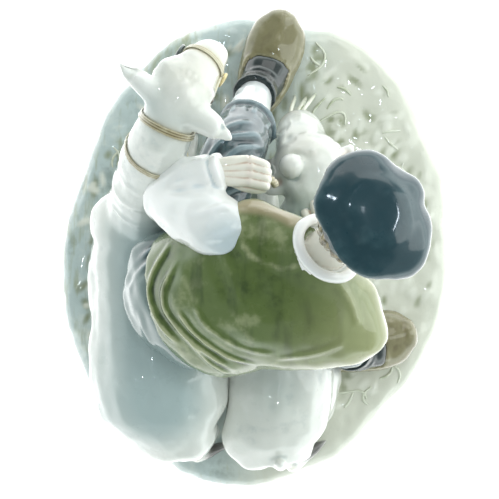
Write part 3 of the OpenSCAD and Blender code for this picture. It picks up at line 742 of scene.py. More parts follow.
def calf_eye(clay, name, centre, toward, up):
    """Presses an eye's bed, raises its lids and returns the eyeball's middle."""
    size = CALF_EYE
    spot = probe(name, centre, toward)
    toward, up = unit(toward), unit(up)
    along = unit(np.cross(up, toward))
    up = unit(np.cross(toward, along))
    clay.swell(spot + up * 1.5, size * 2.2, 1.0)
    clay.swell(spot + up * size * 0.95, size * 0.8, 1.1)
    clay.swell(spot, size * 1.1, -1.5)
    clay.fresh()
    rim = np.array([
        spot + along * math.cos(a) * size * 1.35 + up * math.sin(a) * size * 0.95
        for a in np.linspace(0, 2 * math.pi, 25)
    ])
    clay.ridge(rim, 0.8, 0.75, 0)
    brow = np.array([
        spot + along * t * size * 1.9 + up * (size * 1.75 - 0.25 * size * t * t)
        for t in (-1, -0.5, 0, 0.5, 1)
    ])
    clay.fold(brow, 1.1, 0.7)
    return spot - toward * size * 0.5


def model_calf_eyes(prefix, eyes, material):
    """A calf's two glazed eyes."""
    bm = bmesh.new()
    for centre in eyes:
        ball(bm, centre, CALF_EYEBALL, 32, 20)
    plain_piece(bm, prefix + "_eyes", material, prefix + "_glaze", [])


def muzzle(clay, tip, heading, side, wide):
    """Nostrils, mouth and chin at the end of a calf's head."""
    heading, side = unit(heading), unit(side)
    up = unit(np.cross(side, heading))
    dark = np.zeros(clay.size)
    clay.swell(tip - heading * 2 + up * 1.0, wide * 0.75, 0.9)
    clay.fresh()
    for hand in (-1, 1):
        hole = tip + side * hand * wide * 0.42 + up * 1.6
        clay.swell(hole, 2.6, 0.5)
        comma = np.array([hole + side * hand * 0.9 + up * 0.9, hole, hole - side * hand * 0.5 - up * 0.7])
        clay.ridge(comma, 0.85, -1.5, 0)
        dark = np.maximum(dark, clay.reach(comma, 0.9))
    mouth = np.array([
        tip - heading * 11 + side * wide * 1.05 - up * 3.2,
        tip - heading * 5 + side * wide * 0.9 - up * 3.0,
        tip + heading * 0.5 + side * wide * 0.4 - up * 3.2,
        tip + heading * 1.2 - up * 3.0,
        tip + heading * 0.5 - side * wide * 0.4 - up * 3.2,
        tip - heading * 5 - side * wide * 0.9 - up * 3.0,
        tip - heading * 11 - side * wide * 1.05 - up * 3.2,
    ])
    mouth = curve(mouth, 30)
    clay.ridge(mouth, 0.7, -0.85, 0.12)
    cleft = np.array([tip + up * 1.5 + heading, tip - up * 2.6 + heading])
    clay.ridge(cleft, 0.5, -0.5, 0)
    clay.fresh()
    return np.maximum(dark, 0.7 * clay.reach(mouth, 0.7, 0.12))


def hoof(clay, toe, heading):
    """A cloven hoof at the end of a folded leg; returns where its horn is."""
    toe, heading = np.asarray(toe, float), unit(heading)
    back = toe - heading * 5.5
    t = (clay.p - back) @ heading
    away = np.linalg.norm(clay.p - (toe - heading * 3), axis=1)
    horn = step(-0.6, 0.6, t) * step(9, 7.5, away)
    up = np.array((0, 0, 1.0))
    clay.ridge(np.array([toe + heading * 2 + up * 1, toe - heading * 2 + up * 4.5]), 0.7, -1.0, 0)
    band = hoop(back, heading, 5.2, 4.8, math.degrees(math.atan2(heading[1], heading[0])) - 90)
    clay.ridge(band, 0.7, -0.5, 0)
    return horn


SHARED_PARTS = ("body", "neck", "head", "left_ear", "right_ear", "left_foreleg", "right_foreleg")
HALTERED = ["haltered_calf_" + part for part in (*SHARED_PARTS, "left_hind_leg", "tail")]
GRAZING = ["grazing_calf_" + part for part in (*SHARED_PARTS, "right_hind_leg", "tail")]


def hide_glaze(name, props, shade):
    """A calf's milky white glaze with grey-blue airbrushing that also serves as painted shade on the back,
    haunches, neck and brow.
    """
    return glaze(
        name, props.hide, (0.92, 0.92, 0.89), (0.4, 0.47, 0.47), spread=0.85, clouding=0.34,
        washes=[
            ("shade", shade, 0.05, 1.0),
            ("warm", (0.5, 0.43, 0.27), 0.1, 1.3),
            ("pink", (0.66, 0.46, 0.38), 0.1, 1.4),
            ("dark", (0.09, 0.085, 0.08), 0.1, 0.95),
        ],
        specks=0.35, coat=0.045, milk=0.12,
    )


def ear_hollow(clay, row, lift):
    """Presses the inside of an ear; returns where it is."""
    inside = curve(spots(row) + np.asarray(lift, float), 16)
    clay.ridge(inside, EAR_HOLLOW, -1.3, 0.25)
    return clay.reach(inside, EAR_HOLLOW, 0.25)


def forelock(clay, start, side, leans, ends, high):
    """Short locks that part between a calf's ears; ends are how far they reach out and ahead."""
    for lean in leans:
        middle, tip = (start + side * lean * out + ahead for out, ahead in ends)
        clay.fold(np.array([start, middle, tip]), 0.9, high)


def jaw(clay, spot, heading, up, wide, bulge):
    """A cheek and the dent before it."""
    clay.swell(spot, wide, 0.8)
    dent = [spot + heading * 5 + up * 5, spot + heading * bulge, spot + heading * 5 - up * 4]
    clay.ridge(np.array(dent), 1.6, -0.6)


def model_haltered_calf(props):
    """The calf with its head raised, lying on the left."""
    name = "haltered_calf"
    ears = [
        (curve(spots([(-31, 57, 104.5), (-37, 60.5, 106.5), (-42, 64, 108), (-46, 67.6, 109.8)]), 12),
            np.linspace(6.0, 3.3, 12)),
        (curve(spots([(-29, 56, 104.5), (-23.5, 53, 105.4), (-18, 50, 106.2), (-14, 47.2, 106.6)]), 12),
            np.linspace(7.2, 3.9, 12)),
    ]
    clay = cast(name, HALTERED, 0.8, 4, [(at(-43, -20, 14.6), 6.2)], ears)
    thin = np.maximum(clay.near(at(-46, 68, 110), 7), clay.near(at(-13, 47, 106.5), 7))
    thin = np.maximum(thin, clay.near(at(-26, -86, 32), 12))
    clay.relax(24, share=1 - 0.8 * thin)
    keep_skin(name, clay.mesh)
    clay.ridge(spots([(-34, -68, 60), (-38, -52, 63), (-42, -34, 62), (-44, -12, 61), (-45, 8, 62),
        (-44.5, 19, 64)]), 4.5, 0.7)
    clay.swell(at(-52, -48, 55), 8, 1.6)
    clay.swell(at(-27, -50, 57), 8, 1.4)
    clay.swell(at(-48, -66, 48), 12, 1.2)
    clay.swell(at(-22, -66, 46), 10, 1.0)
    clay.pull(at(-27, -89, 38), 9, np.array((0, 4.4, -1)))
    clay.pull(at(-9, -79, 38), 14, np.array((-6.5, 7.5, 0)))
    clay.ridge(spots([(-54, -33, 57), (-63, -31, 48), (-67, -27, 36), (-65, -22, 24)]), 5.0, -2.0)
    clay.ridge(spots([(-31, -76, 57), (-30.5, -84, 46), (-31, -84, 34), (-32, -82, 22)]), 3.4, -1.6)
    clay.swell(at(-66, -18, 46), 9, -1.2)
    for y in (-14, -8, -2):
        clay.ridge(spots([(-60, y, 54), (-67, y + 1, 45), (-69, y + 3, 34)]), 2.0, -0.45)
    clay.ridge(spots([(-57, 3, 60), (-66, 4, 50), (-69, 7, 38), (-66, 9, 26)]), 3.6, -1.3)
    clay.swell(at(-64, 15, 44), 10, 1.5)
    clay.ridge(spots([(-62, 20, 30), (-60, 27, 46), (-56, 31, 60)]), 3.0, -1.0)
    for high, lift in ((60, 0.6), (68, 0.5), (76, 0.35)):
        t = (high - 46) / 28
        centre = at(-44.5 + 3 * t, 13 + 20 * t, high)
        clay.fold(hoop(centre, (3, 20, 28), 16 - 2 * t, 16 - 2 * t, -6, 130, 400), 1.6, lift)
    clay.pull(at(-31, 80, 89), 6.5, np.array((2.6, -1.8, 0)))
    clay.pull(at(-19, 86, 86), 9, np.array((0.6, -2.6, 0)))
    clay.fresh()
    keep_skin(name, clay.mesh)
    side = unit((0.829, -0.559, 0))
    heading = unit((3, 4.7, -4))
    up = unit(np.cross(side, heading))
    brain = at(-28.6, 61.5, 101.5)
    eyes = [
        calf_eye(clay, name, brain + heading * 1.5 + up * 2, hand * side + up * 0.1 + heading * 0.15, up)
        for hand in (-1, 1)
    ]
    dark = muzzle(clay, at(-15.6, 82, 86.4), heading, side, 7.6)
    clay.ridge(np.array([brain + up * 9 - heading * 2, brain + up * 8.5 + heading * 8,
        brain + up * 7 + heading * 16]), 2.6, 0.6)
    clay.swell(brain + up * 9 - heading * 5, 4.5, 1.3)
    for x, y, reach, high in ((-33.8, 71, 3.6, 1.8), (-31.5, 74, 3.0, 1.5), (-20, 66, 5, 1.2),
        (-24, 76, 4, 0.9)):
        clay.pull(drape(name, [(x, y + FIGURES_SHIFT)])[0], reach, np.array((-0.3, 0.2, 1.0)) * high)
    clay.pull(drape(name, [(-27.6, 75 + FIGURES_SHIFT)])[0], 2.8, np.array((0, 0, -1.6)))
    start = brain + up * 11.5 - heading * 4
    forelock(clay, start, side, (-0.9, -0.3, 0.4, 1.0), ((3, heading * 3.5), (5, heading * 7 - up)), 0.5)
    for hand in (-1, 1):
        jaw(clay, brain + side * hand * 9 - up * 5, heading, up, 5.5, 6.5)
    clay.fresh()
    pink = ear_hollow(clay, [(-39, 62, 106), (-43, 65.5, 108), (-47.5, 69.5, 110), (-50, 71.5, 111)],
        (0.8, 1.8, 1.5))
    pink = np.maximum(pink,
        ear_hollow(clay, [(-22, 53.5, 105), (-18, 50.8, 106), (-14, 48.2, 106.4), (-11.5, 46, 106)],
            (1.0, 1.4, 1.7)))
    horn = np.maximum(hoof(clay, at(-29.6, 57, 18), (0, 1, 0)), hoof(clay, at(-61, 3, 17.5), (-0.2, -1, 0)))
    horn = np.maximum(horn, hoof(clay, at(-63.8, -17, 18), (-0.1, 1, 0)))
    clay.swell(at(-57, 30, 20), 5, 0.8)
    clay.swell(at(-31, 40, 23), 5, 0.7)
    clay.lumps(13, 0.95, 2.0)
    clay.lumps(5, 0.2, 5.0)
    sink(clay)
    # Painted shade, partly airbrushing: grey-blue on the back, haunches, rump, under the ear and over the
    # brow.
    shade = 0.95 * clay.near(at(-40, -30, 64), 26) + 0.9 * clay.near(at(-38, -60, 58), 17)
    shade += 0.75 * clay.near(at(-45, 4, 62), 20) + 0.5 * clay.near(at(-42, 32, 78), 12)
    shade += 0.5 * clay.near(at(-60, -62, 40), 18)
    straps = [strap_row(name, *place[:3]) for place in STRAPS]
    warm = 0.6 * sum(clay.reach(row, 2.6) for row in straps)
    shade += 0.6 * clay.near(at(-43, 40, 86), 8)
    warm += 0.7 * clay.near(at(-14, 72, 88), 5) + 0.5 * clay.near(at(-24, 82, 90), 5)
    warm += 0.6 * clay.near(at(-25, 66, 102), 19)
    shade += 0.75 * clay.near(at(-40, 60, 102), 10) + 0.6 * clay.near(at(-29, 52, 100), 12)
    tuft = step(30, 20, clay.p[:, 2]) * clay.near(at(-18, -84, 19), 10)
    clay.mark("shade", np.clip(shade, 0, 1))
    clay.mark("warm",
        np.clip(warm + 0.8 * clay.near(at(-26, -87, 34), 9) * step(-80, -86, clay.p[:, 1]), 0, 1))
    clay.mark("pink", np.clip(0.35 * pink + 0.6 * clay.near(at(-15.6, 82, 86.4), 6), 0, 1))
    clay.mark("dark", np.clip(dark + 0.75 * horn + tuft, 0, 1))
    material = hide_glaze("haltered hide glaze", props, (0.49, 0.595, 0.6))
    fire(clay, name, material, HALTERED)
    model_calf_eyes(name, eyes, eye_glaze(props))


def sink(clay, depth=1.8):
    """Presses a figure's lowest edge into the turf."""
    low = step(GROUND + 3.2, GROUND + 0.2, clay.p[:, 2])
    clay.p[:, 2] -= depth * low
    clay.p[:, 2] = np.maximum(clay.p[:, 2], GROUND - 5.5)
    clay.fresh()


def eye_glaze(props):
    """A dark wet eye."""
    found = bpy.data.materials.get("calf eye glaze")
    return found or glaze("calf eye glaze", props.eye, (0.12, 0.09, 0.07), (0.01, 0.01, 0.01), clouding=0.7,
        specks=0.0, matte=0.2, coat=0.02)


def model_grazing_calf(props):
    """The calf between the boy's legs, its head lowered to the grass."""
    name = "grazing_calf"
    ears = [
        (curve(spots([(19, 31, 60), (13, 29.4, 61), (8, 28.4, 61.4)]), 10), np.linspace(5.0, 2.8, 10)),
        (curve(spots([(26, 34, 57), (30.6, 37, 58), (34, 40.4, 58)]), 10), np.linspace(7.5, 4.4, 10)),
    ]
    clay = cast(name, GRAZING, 0.75, 4, [(at(12, -40, 14.6), 6.2)], ears)
    thin = np.maximum(clay.near(at(4, 28, 60), 6), clay.near(at(37, 41, 58.5), 6))
    thin = np.maximum(thin, clay.near(at(15, -88, 30), 12))
    clay.relax(24, share=1 - 0.8 * thin)
    keep_skin(name, clay.mesh)
    clay.ridge(spots([(9.6, -72, 54), (9.5, -56, 56), (11, -38, 55.5)]), 4, 0.6)
    clay.swell(at(0, -56, 50), 7, 1.1)
    clay.swell(at(20, -55, 50), 7, 1.1)
    clay.pull(at(11, -89, 37), 9, np.array((0, 5, -1)))
    clay.pull(at(-3, -76, 37), 13, np.array((-6.5, -4.5, 0)))
    clay.ridge(spots([(9.8, -84, 40), (10, -86, 30), (10, -80, 20)]), 2.8, -1.2)
    clay.ridge(spots([(24, -40, 50), (31, -38, 40), (34, -34, 28)]), 4, -1.5)
    clay.swell(at(36, -20, 38), 8, -0.9)
    clay.ridge(spots([(32, -6, 46), (37, -3, 36), (37, 0, 26)]), 3.2, -1.1)
    clay.swell(at(35, 6, 36), 8, 1.2)
    for y in (-18, -13, -8):
        clay.ridge(spots([(30, y, 46), (35.5, y + 1, 38), (36, y + 2, 29)]), 1.8, -0.35)
    clay.fresh()
    side = unit((0.974, 0.225, 0))
    heading = unit((-1.4, 6.2, -6.8))
    up = unit(np.cross(side, heading))
    brain = at(21, 35, 57)
    eyes = [
        calf_eye(clay, name, brain + heading * 2 + up * 1.5, hand * side - up * 0.1 + heading * 0.2, up)
        for hand in (-1, 1)
    ]
    dark = muzzle(clay, at(16.4, 57, 33.6), heading, side, 8.6)
    poll = drape(name, [(13.8, 33.9)])[0]
    clay.ridge(hoop(poll, (0, 0.3, 1), 6.0, 6.0, 0), 1.8, -1.2, 0)
    clay.fresh()
    clay.knob(poll, 4.7)
    for x, y, reach, lift in ((13.2, 45, 3.0, -1.8), (9.8, 43.5, 2.6, 1.2), (25, 41, 5.4, 1.4),
        (29, 45, 4.0, 1.4)):
        clay.pull(drape(name, [(x, y)])[0], reach, np.array((0.1, 0.1, lift)))
    clay.fresh()
    clay.swell(at(12.2, 48, 51), 4.5, 1.3)
    start = brain + up * 11.5 - heading * 9
    forelock(clay, start, side, (-0.8, 0.0, 0.8), ((3, heading * 4), (4.5, heading * 7.5)), 0.55)
    for hand in (-1, 1):
        jaw(clay, brain + side * hand * 10.5 - up * 5 + heading * 2, heading, up, 5, 6)
    clay.ridge(np.array([brain + up * 9 + heading * 2, brain + up * 8.5 + heading * 12]), 3, 0.6)
    clay.fresh()
    pink = ear_hollow(clay, [(12, 29, 61), (8.5, 28.4, 61.6), (4.6, 28, 60), (2.4, 27.8, 58.6)],
        (0, 1.2, 1.6))
    pink = np.maximum(pink,
        ear_hollow(clay, [(31.6, 33, 60.4), (34, 36.2, 60.8), (36.6, 40.4, 59.4), (37.6, 43, 58)],
            (-0.4, 1.0, 1.8)))
    horn = np.maximum(hoof(clay, at(7, 41, 18), (0.1, 1, 0)),
        hoof(clay, at(40.6, -4.4, 17.6), (0.3, -1, 0)))
    horn = np.maximum(horn, hoof(clay, at(33.6, -23, 17.8), (0.1, 1, 0)))
    clay.swell(at(34, 20, 21), 4.5, 0.7)
    clay.lumps(12, 0.85, 7.0)
    clay.lumps(5, 0.2, 8.0)
    sink(clay)
    # Painted shade, partly airbrushing: grey-blue on the rump, back, neck and head.
    shade = 0.5 * clay.near(at(8, -52, 57), 15) + 0.55 * clay.near(at(14, 0, 56), 22)
    shade += 0.5 * clay.near(at(21, 14, 60), 12) + 0.35 * clay.near(at(20, 34, 62), 14)
    nose = clay.near(at(16.4, 56, 35.5), 8)
    clay.mark("shade", np.clip(shade, 0, 1))
    warm = 0.5 * clay.near(at(18, 42, 60), 19) + 0.3 * nose
    warm += 0.7 * clay.near(at(12, -90, 33), 9) * step(-80, -86, clay.p[:, 1])
    clay.mark("warm", np.clip(warm, 0, 1))
    clay.mark("pink", np.clip(pink + 0.5 * nose, 0, 1))
    tuft = step(30, 20, clay.p[:, 2]) * clay.near(at(23, -80, 18), 9)
    clay.mark("dark", np.clip(dark + 0.75 * horn + tuft + 0.35 * nose, 0, 1))
    material = hide_glaze("grazing hide glaze", props, (0.52, 0.61, 0.6))
    fire(clay, name, material, GRAZING)
    model_calf_eyes(name, eyes, eye_glaze(props))


# Halter

STRAPS = [
    ((-38.5, 41.3, 85), (5, 8.5, 10), 24, 2.2),
    ((-34, 51, 95.5), (4.2, 9, 2.8), 20, 3.0),
    ((-21.1, 73.5, 93.0), (3, 4.7, -4), 15, 2.6),
]


def strap_row(name, centre, along, reach):
    """The row of spots where a strap lies round the calf."""
    tree = SKINS[name][0]
    centre, along = at(*centre), unit(along)
    side = unit(np.cross(along, (0, 0, 1)))
    up = unit(np.cross(side, along))
    row = []
    for angle in np.linspace(0, 2 * math.pi, 49):
        toward = Vector(side * math.cos(angle) + up * math.sin(angle))
        hit = tree.ray_cast(Vector(centre), toward, reach)[0]
        row.append(hit if hit is not None else Vector(centre) + toward * reach)
    return np.array(row)


def band_on(skin_mesh, centre, along, reach, width, thick):
    """A strap cut from a finished surface between two planes and thickened."""
    centre, along = Vector(at(*centre)), Vector(unit(along))
    bm = bmesh.new()
    bm.from_mesh(skin_mesh)
    for hand in (-1, 1):
        bmesh.ops.bisect_plane(
            bm, geom=bm.verts[:] + bm.edges[:] + bm.faces[:], dist=1e-6,
            plane_co=(centre + along * hand * width / 2) * MM, plane_no=along * hand, clear_outer=True,
        )
    far = [v for v in bm.verts if (v.co / MM - centre).length > reach]
    bmesh.ops.delete(bm, geom=far, context="VERTS")
    bm.normal_update()
    for v in bm.verts:
        v.co += v.normal * 0.12 * MM
    bmesh.ops.solidify(bm, geom=bm.faces[:], thickness=-thick * MM)
    bmesh.ops.recalc_face_normals(bm, faces=bm.faces)
    return bm


def strap_mesh(name, place, thick):
    """A strap with softened edges that hugs the calf."""
    obj = bpy.data.objects["haltered_calf"]
    bm = band_on(obj.data, *place, thick)
    clay = Clay(remeshed(mesh_from(bm, name), name, 0.33))
    clay.relax(3)
    return clay


def model_halter(props):
    """The halter's straps, rings and rope end."""
    names = ["halter_neck_strap", "halter_poll_strap", "halter_noseband"]
    material = glaze(
        "halter glaze", props.strap, (0.72, 0.68, 0.5), (0.2, 0.15, 0.07), spread=0.8, clouding=0.5,
        washes=[("edge", (0.22, 0.17, 0.08), 0.2, 1.0)], specks=0.4,
    )
    for name, place in zip(names, STRAPS):
        clay = strap_mesh(name + "_band", place, 0.6)
        centre, along = at(*place[0]), unit(place[1])
        off = np.abs((clay.p - centre) @ along)
        clay.p -= clay.n * (0.16 * np.exp(-((off - 0.5) / 0.22) ** 2))[:, None]
        clay.mark("edge", 0.6 * step(0.85, 1.3, off) + 0.4 * step(0.35, 0.1, off))
        fire(clay, name + "_band", material, [name])
    cheeks = bmesh.new()
    tree = SKINS["haltered_calf"][0]
    for hand in (-1, 1):
        side = unit((0.829 * hand, -0.559 * hand, 0.0))
        row = []
        for t in np.linspace(0, 1, 15):
            middle = at(-21.1, 73.5, 93.0) * (1 - t) + at(-32.5, 52.5, 98.5) * t
            hit = tree.ray_cast(Vector(middle), Vector(side + np.array((0, 0, 0.12))))[0]
            if hit is not None:
                row.append(np.array(hit) + side * 0.25)
        strand(cheeks, row, 0.85, 10)
    name = "halter_cheek_bands"
    clay = Clay(remeshed(mesh_from(cheeks, name), name, 0.3))
    clay.mark("edge", np.zeros(clay.size))
    fire(clay, name, material, ["halter_cheek_straps"])
    for node, tint in (("halter_left_ring", (0.1, 0.12, 0.12)), ("halter_right_ring", (0.33, 0.27, 0.13))):
        thin, deep = tuple(3 * c for c in tint), tuple(0.4 * c for c in tint)
        ring_glaze = glaze(node.replace("_", " ") + " glaze", tint, thin, deep, clouding=0.6)
        for held in NODES[node].material_slots:
            held.material = ring_glaze
        if not NODES[node].material_slots:
            NODES[node].data.materials.append(ring_glaze)
    rope = bmesh.new()
    rows = [(-8, 31.4, 96), (-3, 31.2, 95.6), (1.5, 30.8, 95.4), (5, 29.8, 93), (6.6, 28.6, 88.5),
        (7, 28, 84)]
    core = curve(spots(rows), 30)
    for turn in range(3):
        row = []
        for i, q in enumerate(core):
            ahead = unit(core[min(i + 1, len(core) - 1)] - core[max(i - 1, 0)])
            side = unit(np.cross(ahead, (0.3, 1, 0.1)))
            up = np.cross(side, ahead)
            angle = i * 0.62 + turn * 2 * math.pi / 3
            row.append(q + 0.72 * (side * math.cos(angle) + up * math.sin(angle)))
        strand(rope, row, 0.86, 8)
    plain_piece(rope, "twisted_rope_end", material, "halter_glaze", ["halter_rope_end"], "edge")


# The boy's clothes


def knot_row(name, rows, count=18):
    """A smooth row of spots dropped on a rough form, given by X and Y."""
    return curve(drape(name, curve(rows, 10)), count)


def model_breeches(props):
    """The seat and both legs of the knee breeches."""
    cloth = glaze(
        "breeches glaze", props.breeches, (0.15, 0.22, 0.25), (0.012, 0.025, 0.035), spread=1.0,
        clouding=0.2,
        washes=[("pale", (0.21, 0.28, 0.275), 0.1, 1.0)], specks=0.3, coat=0.08,
    )
    clay = cast("breeches_seat_cloth", ["breeches_seat"], 0.8, 18)
    name = "breeches_seat_cloth"
    for row, wide, high in (
        ([(-30, 10, 88), (-38, 6, 84), (-46, -4, 78), (-52, -12, 70)], 2.0, 1.3),
        ([(-34, 4, 88), (-43, -4, 84), (-50, -14, 77)], 1.7, 1.1),
        ([(-52, -22, 78), (-50, -32, 74), (-44, -40, 68)], 2.2, 1.0),
        ([(-46, -20, 84), (-45, -30, 80), (-38, -40, 74)], 2.0, 0.9),
        ([(-56, -14, 66), (-56, -26, 62), (-50, -38, 58)], 2.4, 1.0),
    ):
        clay.fold(curve(spots(row), 14), wide, high, 0.25)
    clay.lumps(9, 0.6, 1.0)
    clay.bed("haltered_calf", "grazing_calf")
    # Painted shade: the seat is washed pale all over but left dark where it lies under the left sleeve.
    deep = clay.near(at(-38, 2, 84), 9)
    clay.mark("pale", np.clip(1.05 - 1.1 * deep, 0, 1))
    fire(clay, name, cloth, ["breeches_seat"], 4, 1.3)

    name = "breeches_left_cloth"
    clay = cast(name, ["breeches_left_leg"], 0.7, 22)
    for row, high in (
        ([(-20.3, 34), (-12.5, 43.8), (2, 45.8)], 1.3),
        ([(-16.4, 31.3), (-6.6, 39.9), (3, 40.5)], 1.2),
        ([(-10.5, 28), (-2.6, 33.5), (3.6, 34)], 1.1),
        ([(-14, 21), (-5, 25), (1, 24)], 0.9),
        ([(-18.5, 40), (-10.5, 49), (-1, 51)], 0.9),
    ):
        clay.fold(knot_row(name, row), 1.6, high, 0.3)
    for turn, high in ((-60, 0.9), (-20, 0.8), (25, 0.9), (70, 0.8)):
        a = math.radians(turn)
        x, y = -6.4 + 11 * math.sin(a), 47 + 11 * math.cos(a)
        clay.fold(spots([(x, y, 66), (x + 1, y + 2, 60), (x + 1.4, y + 3, 54)]), 1.4, high)
    hem = hoop(at(-3.7, 53.4, 50.6), (1.2, 2.5, -5.5), 11.3, 10.6, -20)
    clay.ridge(hem, 1.3, 0.8, 0)
    clay.ridge(hoop(at(-4.3, 52.2, 53.2), (1.2, 2.5, -5.5), 11.3, 10.6, -20), 0.7, -0.7, 0)
    clay.lumps(8, 0.5, 3.0)
    clay.bed("haltered_calf", "grazing_calf", "breeches_seat_cloth")
    clay.mark("pale", 0.8 * clay.near(at(-24, -2, 76), 13))
    fire(clay, name, cloth, ["breeches_left_leg"], 3, 1.3)

    name = "breeches_right_cloth"
    clay = cast(name, ["breeches_right_leg"], 0.7, 22)
    for x, high in ((8, 0.9), (15, 1.1), (22, 1.2)):
        clay.fold(curve(spots([(x, -12, 74), (x + 2, -20, 83), (x + 3, -30, 84), (x + 1, -40, 76)]), 14),
            1.6, high)
    for turn, high in ((-70, 0.9), (-25, 0.8), (20, 0.9), (65, 0.8)):
        a = math.radians(turn)
        x, y = 34 + 11 * math.cos(a), -32 + 11 * math.sin(a)
        clay.fold(spots([(x, y, 68), (x + 1, y - 1, 61), (x + 2, y - 2, 55)]), 1.4, high)
    clay.ridge(hoop(at(36.6, -34.8, 50.8), (1.2, -1.4, -5.5), 10.8, 10.4, 112), 1.3, 0.8, 0)
    clay.ridge(hoop(at(36.1, -34.2, 53.4), (1.2, -1.4, -5.5), 10.8, 10.4, 112), 0.7, -0.7, 0)
    clay.lumps(8, 0.5, 4.0)
    clay.bed("haltered_calf", "grazing_calf", "breeches_seat_cloth", "breeches_left_cloth")
    clay.mark("pale", clay.near(at(-10, -27, 70), 15))
    fire(clay, name, cloth, ["breeches_right_leg"], 3, 1.3)


def model_stockings(props):
    """White stockings and the dark socks rolled over the clogs."""
    white = glaze("stocking glaze", props.stocking, (0.95, 0.96, 0.95), (0.62, 0.7, 0.72), spread=0.8,
        clouding=0.12, specks=0.15, milk=0.12)
    dark = glaze("sock glaze", props.sock, (0.016, 0.028, 0.03), (0.003, 0.005, 0.006), spread=0.9,
        clouding=0.25, specks=0.2)
    legs = (
        ("left", at(-1, 64, 42), (3, 14.5, -20.5), -20, at(-0.6, 67, 38.2), at(3.5, 76, 25)),
        ("right", at(38.2, -37, 42), (3, -4.2, -21), 108, at(39.0, -38.6, 38.2), at(46, -38, 25)),
    )
    for hand, middle, along, turn, top, _ in legs:
        name = hand + "_stocking_knit"
        clay = cast(name, [hand + "_stocking"], 0.5, 20)
        for lift in (-5, 2):
            clay.fold(hoop(middle + unit(along) * lift, along, 8.0, 7.8, turn, 60, 230), 1.6, 0.4)
        clay.bed("breeches_" + hand + "_cloth")
        fire(clay, name, white, [hand + "_stocking"], 2, 0.8)
        name = hand + "_sock_knit"
        clay = cast(name, [hand + "_sock"], 0.5, 20)
        cuff = np.array((0.1, 0.35, -1.0)) if hand == "left" else np.array((0.12, -0.1, -1.0))
        clay.ridge(hoop(top, cuff, 8.9, 8.6, turn), 1.5, 0.7, 0)
        for lift in (6, 9):
            clay.fold(hoop(top + unit(cuff) * lift, cuff, 9.2, 8.8, turn), 1.1, 0.55)
        clay.lumps(6, 0.35, 1.5)
        clay.bed("turf_base", hand + "_stocking_knit")
        fire(clay, name, dark, [hand + "_sock"], 2, 0.9)


def model_clogs(props):
    """Two carved clogs."""
    material = glaze(
        "clog glaze", props.clog, (0.4, 0.37, 0.24), (0.11, 0.085, 0.04), spread=0.7, clouding=0.4,
        washes=[("sole", (0.13, 0.1, 0.05), 0.1, 1.0), ("lip", (0.44, 0.39, 0.24), 0.1, 1.0)],
        streaks=((0.2, 0.17, 0.09), 0.3, 0.95), specks=0.6, ripple=0.35,
    )
    for hand, turn, mouth, toe, heel in (
        ("left", 74, at(2.2, 72.5, 27.5), at(11.3, 101, 21.6), at(-0.4, 60, 20)),
        ("right", 12.5, at(43, -37.6, 27.5), at(64.8, -32.4, 21.6), at(26, -40.6, 20)),
    ):
        name = hand + "_clog_carved"
        clay = cast(name, [hand + "_clog"], 0.6, 24)
        ahead = np.array((math.cos(math.radians(turn)), math.sin(math.radians(turn)), 0))
        side = np.array((-ahead[1], ahead[0], 0))
        keel = curve([toe - ahead * 17 + (0, 0, 8), toe - ahead * 9 + (0, 0, 7.2),
            toe + ahead * 0.5 + (0, 0, 4)], 14)
        clay.ridge(keel, 2.4, 0.9)
        clay.swell(toe + (0, 0, 2.5), 3.6, 1.1)
        rim = hoop(mouth + (0, 0, 1.5), (ahead[0] * 0.25, ahead[1] * 0.25, 1), 10.6, 12.8, turn + 90)
        clay.ridge(rim, 1.5, 1.0, 0)
        rand = [heel - ahead * 2 + (0, 0, -1)]
        for t, out in ((0.15, 8.6), (0.4, 11.2), (0.65, 12.8), (0.85, 10.4), (0.97, 6)):
            rand.append(heel + (toe - heel) * t + side * out + (0, 0, -1.6))
        left = curve(rand + [toe + ahead * 4 + (0, 0, -1)], 30)
        mirrored = [q - side * 2 * ((q - heel) @ side) for q in rand + [toe + ahead * 4 + (0, 0, -1)]]
        right = curve(mirrored, 30)
        for row in (left, right):
            row[:, 2] = GROUND + 3.4
            clay.ridge(row, 0.8, -0.9, 0)
        clay.lumps(7, 0.3, 2.0)
        clay.mark("sole", step(GROUND + 3.6, GROUND + 2.6, clay.p[:, 2]))
        clay.mark("lip", clay.reach(rim, 1.6))
        clay.bed(hand + "_sock_knit", depth=0.8)
        sink(clay, 1.2)
        fire(clay, name, material, [hand + "_clog"])


